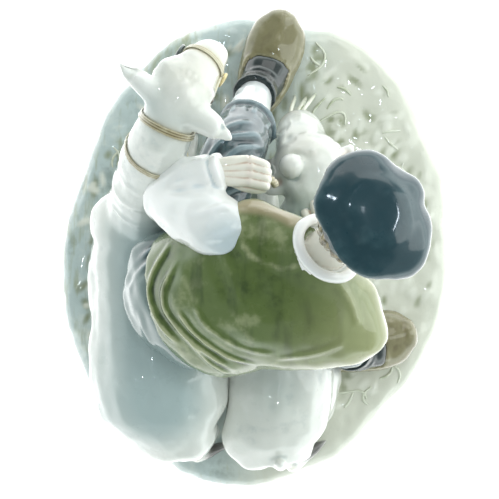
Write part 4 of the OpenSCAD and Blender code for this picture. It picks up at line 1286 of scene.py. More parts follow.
def model_waistcoat(props):
    """The waistcoat, its hem, arm holes and front edge."""
    name = "waistcoat_cloth"
    clay = cast(name, ["waistcoat"], 0.85, 24)
    clay.pull(at(43, -28, 99), 11, np.array((4.4, 0.6, 0.3)))
    clay.pull(at(36, -34, 100), 9, np.array((1.5, -1.6, 0)))
    clay.pull(at(0, 13, 109), 14, np.array((0, 10.5, 0)))
    clay.pull(at(15, 11, 113), 10, np.array((1.5, 3.5, 0)))
    clay.pull(at(38, -13, 102), 10, np.array((4.5, 2.4, 0)))
    clay.swell(at(44, -22, 92), 9, 2.2)
    clay.fresh()
    clay.relax(10, share=clay.near(at(46, -22, 96), 16))
    keep_skin(name, clay.mesh)
    hem = hoop(at(-27.2, -20, 71.6), (4.5, 1.5, 6.5), 24.6, 18, 117)
    clay.ridge(hem, 1.5, 1.1, 0)
    lines = (
        ([(-31, 6), (-39.5, -8), (-41, -17), (-36.5, -28), (-29, -36)], 1.6, 1.5),
        ([(-29.5, -2), (-35.6, -16), (-31.5, -27.4), (-20.5, -37.4), (-6, -46)], 1.5, 1.2),
        ([(-30.4, -22), (-24, -30), (-13, -38.5), (0, -43)], 1.2, 1.1),
        ([(-24, -19), (-18.5, -28), (-6, -36), (8, -38.5)], 1.4, 0.5),
        ([(-26, -34), (-18, -42), (-8, -48)], 1.3, 0.9),
        ([(6, -40.5), (20, -38), (33, -33)], 1.5, 0.6),
        ([(-8, 6), (-2, -2), (9, -6), (20, -4)], 2.0, 0.5),
        ([(-14, 2), (-10, -8), (-6, -20)], 2.4, 0.5),
        ([(38, -28), (34, -18), (28, -9)], 2.0, 0.7),
    )
    for row, wide, high in lines:
        clay.fold(knot_row(name, row, 24), wide, high, 0.22)
    front = knot_row(name, [(-5, 15.6), (1, 15.2), (7, 13.6), (13, 10.5)])
    clay.ridge(front + (0, 1.2, 0), 1.5, 0.7, 0.1)
    for row in (
        [(12, -14, 116), (2, -16, 113), (-8, -19, 107)],
        [(-4, -26, 106), (10, -27, 110), (24, -24, 110)],
    ):
        clay.ridge(spots(row), 6, -0.6)
    clay.lumps(15, 0.7, 3.0)
    clay.lumps(6, 0.14, 9.0)
    clay.bed("breeches_seat_cloth", "breeches_left_cloth", "breeches_right_cloth", "haltered_calf",
        "grazing_calf")
    # Painted light: the green turns lighter and yellower towards the right, where the key light falls.
    spread = clay.p[:, 0] * 0.8 - clay.p[:, 1] * 0.45
    clay.mark("painted_light_fade", step(-12, 66, spread))
    # Painted highlight: a cream band along the shoulder stands in for the light glancing off it; the hem
    # line is washed pale as well.
    shoulder_highlight_row = curve(spots([(34, -8, 100), (45, -16, 97), (48.5, -26, 94), (42, -36, 92), (28, -42, 90),
        (12, -46, 86)]), 24)
    pale = clay.reach(shoulder_highlight_row, 8.5, 0.4) * step(115, 99, clay.p[:, 2])
    clay.mark("pale", np.clip(np.maximum(pale, 0.75 * clay.reach(hem, 1.5)), 0, 1))
    trim = clay.reach(front + (0, 2.6, -0.6), 4.8)
    clay.mark("trim", np.maximum(trim, 0.55 * clay.reach(hem, 1.4)))
    material = glaze(
        "waistcoat glaze", props.waistcoat, (0.44, 0.47, 0.27), (0.016, 0.04, 0.008), spread=1.0,
        clouding=0.34,
        washes=[
            # painted light: lighter and yellower towards the right
            ("painted_light_fade", (0.42, 0.43, 0.22), 0.15, 1.3),
            # painted highlight on the shoulder, and a pale hem line
            ("pale", (0.9, 0.89, 0.77), 0.03, 0.6),
            ("trim", (0.42, 0.36, 0.22), 0.2, 0.85),
        ],
        streaks=((0.028, 0.055, 0.014), 0.07, 0.98), specks=0.5,
    )
    fire(clay, name, material, ["waistcoat"], 3, 1.0)


def cuff(clay, wrist, along, band, groove, back, turn):
    """A cuff's raised band and the groove behind it, each (wide, high, width, height)."""
    for spot, (wide, high, width, height) in ((wrist, band), (wrist - unit(along) * back, groove)):
        clay.ridge(hoop(spot, along, wide, high, turn), width, height, 0)


def model_shirt(props):
    """The collar and the full sleeves."""
    white = glaze("shirt glaze", props.shirt, (1.0, 1.0, 1.0), (0.74, 0.81, 0.84), spread=0.8,
        clouding=0.08,
                  washes=[("shade", (0.66, 0.77, 0.82), 0.1, 1.0)], specks=0.15, milk=0.12)
    name = "shirt_collar_band"
    roll = hoop(at(25.4, 3.4, 118.6), (4.4, 4.2, 7), 12.3, 11.7, 142)
    clay = cast(name, ["shirt_collar"], 0.5, 16, (), [(roll, np.full(len(roll), 2.2))])
    clay.lumps(7, 0.3, 3.0)
    clay.bed("waistcoat_cloth", depth=1.0)
    fire(clay, name, white, ["shirt_collar"], 2)

    name = "left_sleeve_linen"
    clay = cast(name, ["left_sleeve"], 0.75, 22)
    clay.pull(at(-14, 33, 98), 9, np.array((4.2, 0.4, 0)))
    clay.pull(at(-34, 22, 94), 9, np.array((-1.5, 0, 0)))
    clay.fresh()
    for row, wide, high in (
        ([(-33, 26, 98), (-24, 28, 104), (-13, 28, 105)], 1.6, 1.3),
        ([(-38, 22, 92), (-32, 18, 100), (-22, 12, 108)], 2.0, 1.2),
        ([(-40, 18, 86), (-36, 12, 94), (-28, 6, 102)], 2.0, 1.1),
        ([(-30, 32, 98), (-22, 36, 100), (-14, 37, 100)], 1.4, 0.9),
        ([(-20, 6, 112), (-12, 8, 114), (-5, 12, 112)], 1.8, 1.0),
        ([(-26, 14, 108), (-17, 17, 112), (-9, 20, 110)], 1.8, 0.9),
        ([(-14, 0, 110), (-8, 3, 113), (-2, 8, 112)], 1.5, 0.8),
    ):
        clay.fold(curve(spots(row), 14), wide, high)
    cuff(clay, at(-12.6, 32.5, 97.2), (7.5, 2.6, 2.6), (7.6, 7.3, 1.4, 0.9), (8.0, 7.6, 0.9, -0.9), 3.2,
        108)
    clay.lumps(8, 0.6, 6.0)
    clay.bed("waistcoat_cloth", "haltered_calf", "breeches_left_cloth")
    clay.mark("shade", 0.85 * clay.near(at(-10, 5, 112), 13))
    fire(clay, name, white, ["left_sleeve"], 3, 1.2)

    name = "right_sleeve_linen"
    clay = cast(name, ["right_sleeve"], 0.75, 22)
    for row, wide, high in (
        ([(46, -24, 96), (47, -18, 88), (46, -13, 80)], 1.8, 1.1),
        ([(44, -30, 92), (47, -26, 84), (45, -20, 76)], 1.8, 1.0),
        ([(28, -10, 88), (27, -8, 80), (28, -4, 74)], 1.8, 0.9),
        ([(43, -8, 76), (41, -2, 74), (38, 4, 72)], 1.4, 0.9),
        ([(36, -8, 79), (34, -2, 78), (31, 4, 77)], 1.4, 0.8),
    ):
        clay.fold(curve(spots(row), 14), wide, high)
    cuff(clay, at(30, 6.8, 68.5), (-2.4, 7, -0.6), (7.0, 6.6, 1.3, 0.9), (7.4, 7.0, 0.9, -0.8), 3.0, 15)
    clay.lumps(8, 0.55, 8.0)
    clay.bed("waistcoat_cloth", "breeches_right_cloth", "grazing_calf")
    fire(clay, name, white, ["right_sleeve"], 3, 1.2)


# The boy's hands and head


def skin_glaze(props):
    """Pale bisque under clear glaze."""
    found = bpy.data.materials.get("skin glaze")
    return found or glaze(
        "skin glaze", props.skin, (0.93, 0.88, 0.82), (0.62, 0.42, 0.31), spread=0.55, clouding=0.12,
        washes=[
            ("blush", (0.8, 0.5, 0.41), 0.05, 1.5),
            ("lips", (0.6, 0.25, 0.2), 0.1, 1.0),
            ("brow", (0.14, 0.09, 0.05), 0.15, 0.9),
        ],
        specks=0.08, matte=0.36, coat=0.07, milk=0.2,
    )


def model_hand(node, wrist, knuckles, middles, tips, thumb, props, neighbours):
    """A hand of rods run together: the palm, four fingers and a thumb."""
    name = node + "_bisque"
    bm = bmesh.new()
    for i in range(4):
        start = wrist + (knuckles[i] - wrist) * 0.05 + (knuckles[i] - knuckles.mean(0)) * 0.55
        palm = [start - (knuckles[i] - start) * 0.25, start, (start + knuckles[i]) / 2, knuckles[i]]
        strand(bm, palm, [2.6, 2.9, 2.8, 2.0], 12)
        bend = middles[i] + (tips[i] - middles[i]) * 0.5 + (middles[i] - knuckles[i]) * 0.1
        row = curve([knuckles[i], middles[i], bend, tips[i]], 12)
        radii = [2.15 - 0.55 * t - (0.45 if t > 0.97 else 0) for t in np.linspace(0, 1, 12)]
        strand(bm, row, radii, 12)
    row = curve(thumb, 10)
    strand(bm, row, [2.7 - 0.8 * t - (0.5 if t > 0.97 else 0) for t in np.linspace(0, 1, 10)], 12)
    clay = Clay(remeshed(mesh_from(bm, name), name, 0.34))
    clay.relax(6)
    for i in range(4):
        clay.swell(knuckles[i] + (0, 0, 1.6), 1.3, 0.3)
        clay.swell(middles[i] + (0, 0, 1.2), 1.0, 0.22)
        nail = tips[i] + (middles[i] - tips[i]) * 0.18 + (0, 0, 0.8)
        clay.swell(nail, 0.9, -0.14)
    clay.bed(*neighbours, depth=0.7)
    blush = sum(clay.near(t, 2.6) for t in tips) + 0.6 * sum(clay.near(k + (0, 0, 1), 2) for k in knuckles)
    clay.mark("blush", np.clip(0.7 * blush, 0, 1))
    clay.mark("lips", np.zeros(clay.size))
    clay.mark("brow", np.zeros(clay.size))
    fire(clay, name, skin_glaze(props), [node], 3)


def model_hands(props):
    """The left hand round the rope end and the right one on the grazing calf's neck."""
    offsets = (-4.2, -1.5, 1.3, 3.9)  # of the four fingers across the hand
    knuckles = np.array([at(-2.4 - 0.15 * abs(o), 32.8 + o, 99.6 - 0.12 * abs(o)) for o in offsets])
    middles = np.array([at(3.4 - 0.2 * abs(o), 31.2 + 0.95 * o, 98.8) for o in offsets])
    tips = np.array([at(3.6 - 0.2 * abs(o), 30.2 + 0.85 * o, 93.8) for o in offsets])
    thumb = [at(-10, 29.8, 96.4), at(-5, 27.2, 96), at(0, 26.0, 96.6), at(3.8, 26.6, 96.2)]
    wrist = at(-14.5, 32.4, 97)
    model_hand("left_hand", wrist, knuckles, middles, tips, thumb, props, ["left_sleeve_linen"])
    knuckles = np.array([at(28.6 + o, 14 + 0.26 * o, 70.0 - 0.1 * abs(o)) for o in offsets])
    middles = np.array([at(27.6 + 1.08 * o, 19.4 + 0.2 * o, 69.4 - 0.1 * abs(o)) for o in offsets])
    tips = np.array([at(26.8 + 1.16 * o, 24.6 + 0.1 * o - 0.3 * abs(o),
        66.0 - 0.3 * abs(o)) for o in offsets])
    thumb = [at(25.4, 8.6, 68.6), at(22.4, 12, 68.8), at(20, 15.6, 67.6), at(18.8, 18.6, 66.2)]
    wrist = at(30, 7, 68.4)
    model_hand("right_hand", wrist, knuckles, middles, tips, thumb, props,
        ["right_sleeve_linen", "grazing_calf"])


HEAD = at(35.8, 11.8, 136.5)
TURN, NOD = math.radians(32), math.radians(22)
FACE = np.array((math.cos(TURN) * math.cos(NOD), math.sin(TURN) * math.cos(NOD), -math.sin(NOD)))
LEFT = np.array((-math.sin(TURN), math.cos(TURN), 0))
CROWN = np.array((math.cos(TURN) * math.sin(NOD), math.sin(TURN) * math.sin(NOD), math.cos(NOD)))


def on_head(x, y, z):
    """A spot on the head's own axes: to the face, to its left, up."""
    return HEAD + x * FACE + y * LEFT + z * CROWN


def face_spot(y, z, proud=0.0):
    """A spot on the rough face, this far to its left and up."""
    hit = SKINS["boy_head_bisque"][0].ray_cast(Vector(on_head(40, y, z)), Vector(-FACE))[0]
    if hit is None:
        raise RuntimeError("the face has no surface there")
    return np.array(hit) + FACE * proud


def face_row(rows, count=16):
    """A smooth row of spots on the rough face."""
    return curve([face_spot(y, z) for y, z in rows], count)


def model_head(props):
    """The head with a calm child's face, the ears, the neck, the eyes and the hair."""
    name = "boy_neck_bisque"
    clay = cast(name, ["boy_neck"], 0.5, 24)
    for mark in ("blush", "lips", "brow"):
        clay.mark(mark, np.zeros(clay.size))
    clay.bed("waistcoat_cloth", "shirt_collar_band", depth=0.8)
    fire(clay, name, skin_glaze(props), ["boy_neck"])

    name = "boy_head_bisque"
    clay = cast(name, ["boy_head", "boy_left_ear", "boy_right_ear"], 0.42, 8)
    ears = np.maximum(clay.near(on_head(-1.2, 13.6, -2), 4), clay.near(on_head(-1.2, -13.6, -2), 4))
    clay.relax(60, share=1 - 0.85 * ears)
    keep_skin(name, clay.mesh)
    eyes = []
    for hand in (-1, 1):
        socket = face_spot(5.3 * hand, -1.4)
        clay.pull(socket, 2.9, -FACE * 1.7)
        clay.pull(face_spot(5.6 * hand, 2.2), 3.0, FACE * 0.45)
        clay.pull(face_spot(7.6 * hand, -6.4), 3.8, FACE * 0.9 + LEFT * hand * 0.4)
        clay.pull(face_spot(8.8 * hand, -10.4), 3.6, -FACE * 0.3)
        eyes.append((hand, socket))
    clay.pull(face_spot(0, 1.6), 2.2, -FACE * 0.5)
    bridge = face_row([(0, 1.4), (0, -1.4), (0, -3.8)])
    clay.p += FACE * (0.9 * clay.reach(bridge, 1.7, 0))[:, None]
    clay.pull(face_spot(0, -4.4), 2.2, FACE * 1.25)
    for hand in (-1, 1):
        clay.pull(face_spot(1.6 * hand, -4.9), 1.2, FACE * 0.55 + LEFT * hand * 0.3)
    clay.fresh()
    for hand in (-1, 1):
        clay.pull(face_spot(0.9 * hand, -5.9, 0.6), 0.6, CROWN * 0.4 - FACE * 0.3)
    upper = face_row([(-3.3, -9.2), (-1.5, -8.4), (0, -8.75), (1.5, -8.4), (3.3, -9.2)])
    lower = face_row([(-2.6, -10.2), (0, -10.7), (2.6, -10.2)])
    parting = face_row([(-3.7, -9.35), (-1.6, -9.35), (0, -9.6), (1.6, -9.35), (3.7, -9.35)])
    clay.p += FACE * (0.95 * clay.near(face_spot(0, -9.6), 3.4))[:, None]
    clay.ridge(upper, 0.75, 0.5, 0.15)
    clay.ridge(lower, 0.95, 0.65, 0.3)
    clay.ridge(parting, 0.42, -0.75, 0.12)
    clay.pull(face_spot(0, -12.0), 1.6, -FACE * 0.55)
    clay.pull(face_spot(0, -13.8), 2.6, FACE * 0.9)
    clay.ridge(face_row([(0, -6.8), (0, -8.0)], 6), 0.5, -0.35, 0)
    clay.fresh()
    lid_rows = []
    for hand, socket in eyes:
        outline = []
        for a in np.linspace(0, 2 * math.pi, 25):
            high = 1.55 if math.sin(a) > 0 else 1.15
            rise = high * math.sin(a) - 0.1 * math.cos(a) * hand
            outline.append(socket - FACE * 0.8 + LEFT * (2.85 * math.cos(a)) + CROWN * rise)
        outline = np.array(outline)
        clay.ridge(outline, 0.55, 0.75, 0)
        crease = curve([
            socket + LEFT * t * 3.3 + CROWN * (2.7 - 0.22 * t * t * 3) - FACE * 0.6
            for t in (-1, -0.4, 0.4, 1)
        ], 12)
        clay.ridge(crease, 0.45, -0.45, 0.2)
        lid_rows.append(outline[1:12])
    for hand in (-1, 1):
        rows = ((-0.6, 14.2, -6), (-2.6, 15.4, -2.6), (-2.6, 15.6, 0.4), (0.4, 14.8, 1.4),
            (1.0, 14.2, -0.8))
        shell = curve([on_head(x, y * hand, z) for x, y, z in rows], 16)
        clay.ridge(shell, 0.6, 0.45, 0)
        clay.swell(on_head(-0.6, 14.6 * hand, -1.6), 1.3, -1.0)
    clay.relax(2)
    clay.bed("boy_neck_bisque", depth=0.6)
    brow = np.zeros(clay.size)
    for hand in (-1, 1):
        arch = face_row([(2.6 * hand, 2.7), (5.2 * hand, 3.7), (8.2 * hand, 2.6)])
        brow = np.maximum(brow, 0.8 * clay.reach(arch, 0.6, 0.25))
    for row in lid_rows:
        brow = np.maximum(brow, 0.75 * clay.reach(row, 0.42, 0.1))
    blush = clay.near(face_spot(7.4, -5.8), 3.6) + clay.near(face_spot(-7.4, -5.8), 3.6)
    blush += 0.5 * clay.near(face_spot(0, -4.4, 2), 1.8) + 0.5 * ears + 0.4 * clay.near(face_spot(0, -13.6),
        2.6)
    clay.mark("brow", np.clip(brow, 0, 1))
    clay.mark("blush", np.clip(blush, 0, 1))
    clay.mark("lips", np.clip(np.maximum(clay.reach(upper, 0.85, 0.1), clay.reach(lower, 1.0, 0.1)), 0, 1))
    fire(clay, name, skin_glaze(props), ["boy_head", "boy_left_ear", "boy_right_ear"], 4)

    bm = bmesh.new()
    gaze = unit(FACE - 0.22 * CROWN)
    for _, socket in eyes:
        ball(bm, socket - FACE * 3.55, 2.75, 48, 32)
    white = glaze(
        "boy eye glaze", (0.85, 0.85, 0.83), (0.9, 0.9, 0.9), (0.7, 0.7, 0.7), clouding=0.1, specks=0.0,
        matte=0.2, coat=0.02,
        washes=[("gaze", props.iris, 0.868, 0.885), ("gaze", (0.01, 0.008, 0.006), 0.955, 0.965)],
    )
    clay = plain_piece(bm, "boy_eyes", white, "skin_glaze", [])
    clay.mark("gaze", clay.n @ gaze)

    name = "boy_hair_locks"
    clay = cast(name, ["boy_hair"], 0.45, 30)
    off = clay.p - HEAD
    angle = np.arctan2(off @ LEFT, off @ FACE)
    height = off @ CROWN
    wave = np.array([noise.noise(Vector(q) / 5.5) for q in clay.p])
    locks = np.sin(angle * 26 + 2.2 * wave + 0.16 * height)
    broad = np.sin(angle * 9 + 1.4 * wave)
    clay.p += clay.n * (0.32 * locks + 0.3 * broad)[:, None]
    clay.mark("locks", locks)
    clay.bed("boy_head_bisque", "boy_neck_bisque", depth=0.8)
    material = glaze("hair glaze", props.hair, (0.42, 0.34, 0.22), (0.06, 0.04, 0.02), spread=1.0,
        clouding=0.35,
                     washes=[("locks", (0.33, 0.25, 0.15), 0.1, 2.2)], specks=0.2)
    fire(clay, name, material, ["boy_hair"], 2)


def model_beret(props):
    """The soft round beret."""
    name = "beret_felt"
    clay = cast(name, ["beret"], 0.65, 30)
    off = clay.p - on_head(0, 0, 13)
    along, across, up = off @ FACE, off @ LEFT, off @ CROWN
    angle = np.arctan2(across, along)
    out = np.hypot(along, across)
    rim = step(13, 21, out)
    notch = np.exp(-(((angle + 0.33) / 0.2) ** 2))
    wavy = 0.5 * np.cos(5 * angle + 0.6) + 0.3 * np.cos(8 * angle - 1.0) - 1.5 * notch
    way = (np.outer(along, FACE) + np.outer(across, LEFT)) / np.maximum(out, 1)[:, None]
    clay.p += way * (wavy * rim)[:, None]
    clay.p += CROWN * (0.5 * np.cos(6 * angle) * rim)[:, None]
    clay.pull(at(23, 0.5, 131), 9, np.array((-2.6, -1.2, 0)))
    for turn, length in ((20, 16), (75, 15), (140, 17), (205, 15), (265, 17), (320, 14)):
        a = math.radians(turn)
        row = [
            on_head(math.cos(a) * r, math.sin(a) * r, 19.5 - 0.011 * r * r)
            for r in (5, (5 + length) / 2, length)
        ]
        clay.fold(np.array(row), 3.0, 0.2)
    clay.swell(on_head(-3, 2, 20), 9, -0.7)
    clay.lumps(14, 0.5, 11.0)
    under = on_head(0, 0, 7.4)
    band = hoop(under, CROWN, 15.6, 16.6, math.degrees(TURN) + 90)
    clay.ridge(band, 1.3, 0.9, 0)
    clay.mark("edge", rim * step(3.5, -3.0, up))
    clay.mark("band", clay.reach(band, 1.6))
    clay.bed("boy_head_bisque", "boy_hair_locks", depth=0.8)
    material = glaze(
        "beret glaze", props.beret, (0.06, 0.12, 0.14), (0.012, 0.03, 0.04), spread=0.9, clouding=0.25,
        washes=[("edge", (0.1, 0.11, 0.07), 0.3, 1.2), ("band", (0.05, 0.05, 0.045), 0.2, 1.0)],
        specks=0.35, coat=0.1,
    )
    fire(clay, name, material, ["beret"], 4, 1.2)


def model_sprig():
    """The grass in the grazing calf's mouth."""
    bm = bmesh.new()
    for dx, dy, lift, thick in ((0, 0, 0, 1.15), (-2.8, 0.8, 0.4, 1.0), (2.4, 1.4, -0.6, 0.9)):
        row = curve(spots([(15.8 + dx * 0.5, 55.4, 33 + lift), (17 + dx, 59.4 + dy, 30.5 + lift),
            (18.8 + 1.3 * dx, 63 + dy, 26 + lift),
                           (20.4 + 1.5 * dx, 66 + dy, 20), (21.2 + 1.7 * dx, 68 + dy, GROUND - 0.4)]), 16)
        radii = [max(0.25, thick * math.sin(math.pi * (0.12 + 0.84 * t)) ** 0.6) for t in np.linspace(0, 1,
            16)]
        strand(bm, row, radii, 8)
    name = "grass_in_mouth"
    clay = Clay(remeshed(mesh_from(bm, name), name, 0.3))
    clay.relax(2)
    material = glaze("sprig glaze", (0.66, 0.7, 0.5), (0.86, 0.87, 0.74), (0.3, 0.36, 0.18), clouding=0.6)
    fire(clay, name, material, ["grass_sprig"], 2)


# Studio

FLOOR_HALF = 4.0
AIM = Vector((0, 0, 0.06))
VIEW_CENTRE = (-0.0029, 0.0009)
SOFTBOXES = (
    ("right softbox", (0.75, 0.15, 0.6), (0.6, 0.7), 2.6, (0.95, 1.0, 0.98)),
    ("back softbox", (0.25, 0.8, 0.6), (0.7, 0.4), 1.4, (1.0, 0.99, 0.97)),
    ("window strip", (0.06, 0.32, 0.95), (0.035, 0.05), 0.32, (0.75, 0.88, 1.0)),
    ("small window", (-0.2, -0.1, 0.95), (0.022, 0.03), 0.18, (0.8, 0.9, 1.0)),
    ("far window", (0.45, 0.2, 0.85), (0.03, 0.03), 0.14, (0.8, 0.9, 1.0)),
)


def studio(props):
    """The floor, the light tent and the camera."""
    scene = bpy.context.scene
    bm = bmesh.new()
    bmesh.ops.create_grid(bm, x_segments=8, y_segments=8, size=FLOOR_HALF)
    floor = new_object("studio_floor", mesh_from(bm, "studio_floor"))
    paper = bpy.data.materials.new("studio paper")
    paper.use_nodes = True
    shader = paper.node_tree.nodes["Principled BSDF"]
    tone = mix_colour(paper.node_tree, object_noise(paper.node_tree, 0.02, 2), (0.94, 0.945, 0.945),
        (0.97, 0.97, 0.97))
    paper.node_tree.links.new(tone, shader.inputs["Base Color"])
    shader.inputs["Roughness"].default_value = 0.9
    shader.inputs["Emission Color"].default_value = (1, 1, 1, 1)
    gloss = paper.node_tree.nodes.new("ShaderNodeLightPath").outputs["Is Glossy Ray"]
    glow = fit_range(paper.node_tree, gloss, 0.0, 1.0, props.paper_glow, props.paper_shine)
    paper.node_tree.links.new(glow, shader.inputs["Emission Strength"])
    floor.data.materials.append(paper)
    world = bpy.data.worlds.new("light tent")
    scene.world = world
    world.use_nodes = True
    tree = world.node_tree
    place = tree.nodes.new("ShaderNodeTexCoord")
    split = tree.nodes.new("ShaderNodeSeparateXYZ")
    tree.links.new(place.outputs["Generated"], split.inputs[0])
    panel = fit_range(tree, split.outputs["Z"], 0.66, 0.8, props.tent_panel, props.tent_top)
    walls = fit_range(tree, split.outputs["Z"], 0.0, 0.45, props.tent_sides, 0.0)
    shine = math_node(tree, "ADD", panel, walls)
    right = fit_range(tree, split.outputs["X"], -0.7, 0.8, 0.8, 1.1)
    shine = math_node(tree, "MULTIPLY", shine, right)
    side = fit_range(tree, split.outputs["X"], -0.9, 0.9, 0.9, 1.15)
    soft = math_node(tree, "MULTIPLY", side, props.tent_fill)
    glossy = tree.nodes.new("ShaderNodeLightPath").outputs["Is Glossy Ray"]
    mixed = tree.nodes.new("ShaderNodeMix")
    tree.links.new(glossy, mixed.inputs[0])
    tree.links.new(soft, mixed.inputs[2])
    tree.links.new(shine, mixed.inputs[3])
    background = tree.nodes["Background"]
    background.inputs["Color"].default_value = (0.915, 1.0, 0.975, 1)
    tree.links.new(mixed.outputs[0], background.inputs["Strength"])
    for label, where, size, power, tint in SOFTBOXES:
        light = bpy.data.lights.new(label, "AREA")
        light.shape = "RECTANGLE"
        light.size, light.size_y = size
        light.energy = power * props.power
        light.color = tint
        lamp = bpy.data.objects.new(label, light)
        scene.collection.objects.link(lamp)
        lamp.location = where
        aim = AIM - Vector(where)
        lamp.rotation_euler = aim.to_track_quat("-Z", "Y").to_euler()
    view = bpy.data.cameras.new("view from above")
    view.lens = props.lens
    view.sensor_width = 36
    view.clip_start, view.clip_end = 0.05, 20
    camera = bpy.data.objects.new("view from above", view)
    scene.collection.objects.link(camera)
    camera.location = (*VIEW_CENTRE, props.camera_height)
    scene.camera = camera
    scene.view_settings.view_transform = "Standard"


# Settings, operators and panel


class TurfSettings(bpy.types.PropertyGroup):
    """Sizes and colours of the base."""

    seed: IntProperty(name="Grass Pattern", description="Which lie of the grass is modelled", default=11,
        min=0)
    blade_count: IntProperty(name="Blades", description="Low blades modelled in the turf", default=380,
        min=0)
    turf: colour_property("Turf", (0.6, 0.7, 0.69), "Glaze of the ground")


class CalfSettings(bpy.types.PropertyGroup):
    """Colours of the calves and the halter."""

    hide: colour_property("Hide", (0.81, 0.825, 0.78), "Milky glaze of both calves")
    eye: colour_property("Eye", (0.03, 0.022, 0.018), "Glaze of the calves' eyes")
    strap: colour_property("Strap", (0.48, 0.42, 0.26), "Glaze of the halter")


class BoySettings(bpy.types.PropertyGroup):
    """Colours of the boy's clothes and skin."""

    beret: colour_property("Beret", (0.014, 0.05, 0.066), "Glaze of the beret")
    waistcoat: colour_property("Waistcoat", (0.12, 0.175, 0.048), "Glaze of the waistcoat")
    shirt: colour_property("Shirt", (0.98, 0.99, 0.98), "Glaze of the shirt")
    breeches: colour_property("Breeches", (0.035, 0.07, 0.085), "Glaze of the breeches")
    stocking: colour_property("Stocking", (0.84, 0.87, 0.88), "Glaze of the stockings")
    sock: colour_property("Sock", (0.012, 0.022, 0.023), "Glaze of the socks")
    clog: colour_property("Clog", (0.225, 0.205, 0.105), "Glaze of the clogs")
    skin: colour_property("Skin", (0.93, 0.89, 0.8), "Bisque of the hands and face")
    iris: colour_property("Iris", (0.1, 0.07, 0.04), "Paint of the boy's irises")
    hair: colour_property("Hair", (0.2, 0.15, 0.09), "Glaze of the hair")


class StudioSettings(bpy.types.PropertyGroup):
    """Light, floor and camera."""

    power: FloatProperty(name="Softbox Power", description="Share of the softboxes' full power",
        default=1.0, min=0)
    tent_sides: FloatProperty(name="Tent Sides", description="Shine of the tent's walls", default=2.4,
        min=0)
    tent_panel: FloatProperty(name="Tent Panel", description="Shine of the tent's shoulders", default=0.5,
        min=0)
    tent_top: FloatProperty(name="Tent Top", description="Shine of the tent's roof", default=0.1, min=0)
    tent_fill: FloatProperty(name="Tent Fill", description="Soft light from all round", default=0.63, min=0)
    paper_glow: FloatProperty(name="Paper Glow", description="Light that comes through the floor paper",
        default=0.52, min=0)
    paper_shine: FloatProperty(name="Paper Shine", description="Light of the paper in the gloss",
        default=1.4, min=0)
    lens: FloatProperty(name="Lens", description="Focal length of the camera", default=124.8, min=20,
        subtype="NONE")
    camera_height: FloatProperty(
        name="Camera Height", description="How high the camera hangs", default=0.75, min=0.3, unit="LENGTH"
    )


class PorcelainSettings(bpy.types.PropertyGroup):
    """All the group's settings."""

    turf: PointerProperty(type=TurfSettings)
    calf: PointerProperty(type=CalfSettings)
    boy: PointerProperty(type=BoySettings)
    studio: PointerProperty(type=StudioSettings)


class PORCELAIN_OT_base(bpy.types.Operator):
    """Model the base and its grass"""

    bl_idname = "porcelain.base"
    bl_label = "Base"

    def execute(self, context):
        """Makes the turf and the trailed tufts."""
        model_base(context.scene.porcelain.turf)
        model_grass(context.scene.porcelain.turf)
        return {"FINISHED"}


class PORCELAIN_OT_haltered_calf(bpy.types.Operator):
    """Model the calf with its head raised"""

    bl_idname = "porcelain.haltered_calf"
    bl_label = "Haltered Calf"

    def execute(self, context):
        """Makes the calf and its eyes."""
        model_haltered_calf(context.scene.porcelain.calf)
        return {"FINISHED"}


class PORCELAIN_OT_grazing_calf(bpy.types.Operator):
    """Model the calf with its head lowered and the grass in its mouth"""

    bl_idname = "porcelain.grazing_calf"
    bl_label = "Grazing Calf"

    def execute(self, context):
        """Makes the calf, its eyes and the sprig."""
        model_grazing_calf(context.scene.porcelain.calf)
        model_sprig()
        return {"FINISHED"}


class PORCELAIN_OT_halter(bpy.types.Operator):
    """Model the halter"""

    bl_idname = "porcelain.halter"
    bl_label = "Halter"

    def execute(self, context):
        """Makes the straps and the rope end, and glazes the rings."""
        model_halter(context.scene.porcelain.calf)
        return {"FINISHED"}


class PORCELAIN_OT_breeches(bpy.types.Operator):
    """Model the breeches"""

    bl_idname = "porcelain.breeches"
    bl_label = "Breeches"

    def execute(self, context):
        """Makes the seat and the legs."""
        model_breeches(context.scene.porcelain.boy)
        return {"FINISHED"}


class PORCELAIN_OT_footwear(bpy.types.Operator):
    """Model the stockings, socks and clogs"""

    bl_idname = "porcelain.footwear"
    bl_label = "Stockings and Clogs"

    def execute(self, context):
        """Makes what the boy wears on both feet."""
        model_stockings(context.scene.porcelain.boy)
        model_clogs(context.scene.porcelain.boy)
        return {"FINISHED"}


class PORCELAIN_OT_waistcoat(bpy.types.Operator):
    """Model the waistcoat and the shirt"""

    bl_idname = "porcelain.waistcoat"
    bl_label = "Waistcoat and Shirt"

    def execute(self, context):
        """Makes the waistcoat, collar and sleeves."""
        model_waistcoat(context.scene.porcelain.boy)
        model_shirt(context.scene.porcelain.boy)
        return {"FINISHED"}


class PORCELAIN_OT_hands(bpy.types.Operator):
    """Model the hands"""

    bl_idname = "porcelain.hands"
    bl_label = "Hands"

    def execute(self, context):
        """Makes both hands."""
        model_hands(context.scene.porcelain.boy)
        return {"FINISHED"}


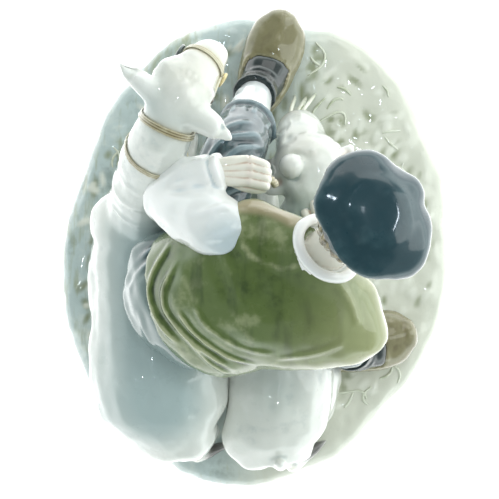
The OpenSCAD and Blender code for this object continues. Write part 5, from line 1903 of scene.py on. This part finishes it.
class PORCELAIN_OT_head(bpy.types.Operator):
    """Model the head and the beret"""

    bl_idname = "porcelain.head"
    bl_label = "Head and Beret"

    def execute(self, context):
        """Makes the neck, face, eyes, hair and beret."""
        model_head(context.scene.porcelain.boy)
        model_beret(context.scene.porcelain.boy)
        return {"FINISHED"}


class PORCELAIN_OT_stage(bpy.types.Operator):
    """Set the floor, lights and camera"""

    bl_idname = "porcelain.stage"
    bl_label = "Stage"

    def execute(self, context):
        """Makes the studio."""
        studio(context.scene.porcelain.studio)
        return {"FINISHED"}


OPERATORS = (
    PORCELAIN_OT_stage,
    PORCELAIN_OT_base,
    PORCELAIN_OT_haltered_calf,
    PORCELAIN_OT_grazing_calf,
    PORCELAIN_OT_halter,
    PORCELAIN_OT_breeches,
    PORCELAIN_OT_footwear,
    PORCELAIN_OT_waistcoat,
    PORCELAIN_OT_hands,
    PORCELAIN_OT_head,
)


class PORCELAIN_PT_group(bpy.types.Panel):
    """The group's pieces and settings"""

    bl_idname = "PORCELAIN_PT_group"
    bl_label = "Porcelain Calf Group"
    bl_space_type = "VIEW_3D"
    bl_region_type = "UI"
    bl_category = "Porcelain"

    def draw(self, context):
        """Lists the operators and the settings."""
        for operator in OPERATORS:
            self.layout.operator(operator.bl_idname)
        settings = context.scene.porcelain
        for group in (settings.turf, settings.calf, settings.boy, settings.studio):
            box = self.layout.box()
            for key in group.bl_rna.properties.keys():
                if key not in ("rna_type", "name"):
                    box.prop(group, key)


CLASSES = (
    TurfSettings,
    CalfSettings,
    BoySettings,
    StudioSettings,
    PorcelainSettings,
    *OPERATORS,
    PORCELAIN_PT_group,
)


def register():
    """Adds the classes and the scene's settings."""
    for cls in CLASSES:
        bpy.utils.register_class(cls)
    bpy.types.Scene.porcelain = PointerProperty(type=PorcelainSettings)


def unregister():
    """Takes them away again."""
    del bpy.types.Scene.porcelain
    for cls in reversed(CLASSES):
        bpy.utils.unregister_class(cls)


def main():
    """Builds every piece."""
    register()
    for operator in OPERATORS:
        group, action = operator.bl_idname.split(".")
        getattr(getattr(bpy.ops, group), action)()


if __name__ == "__main__":
    main()
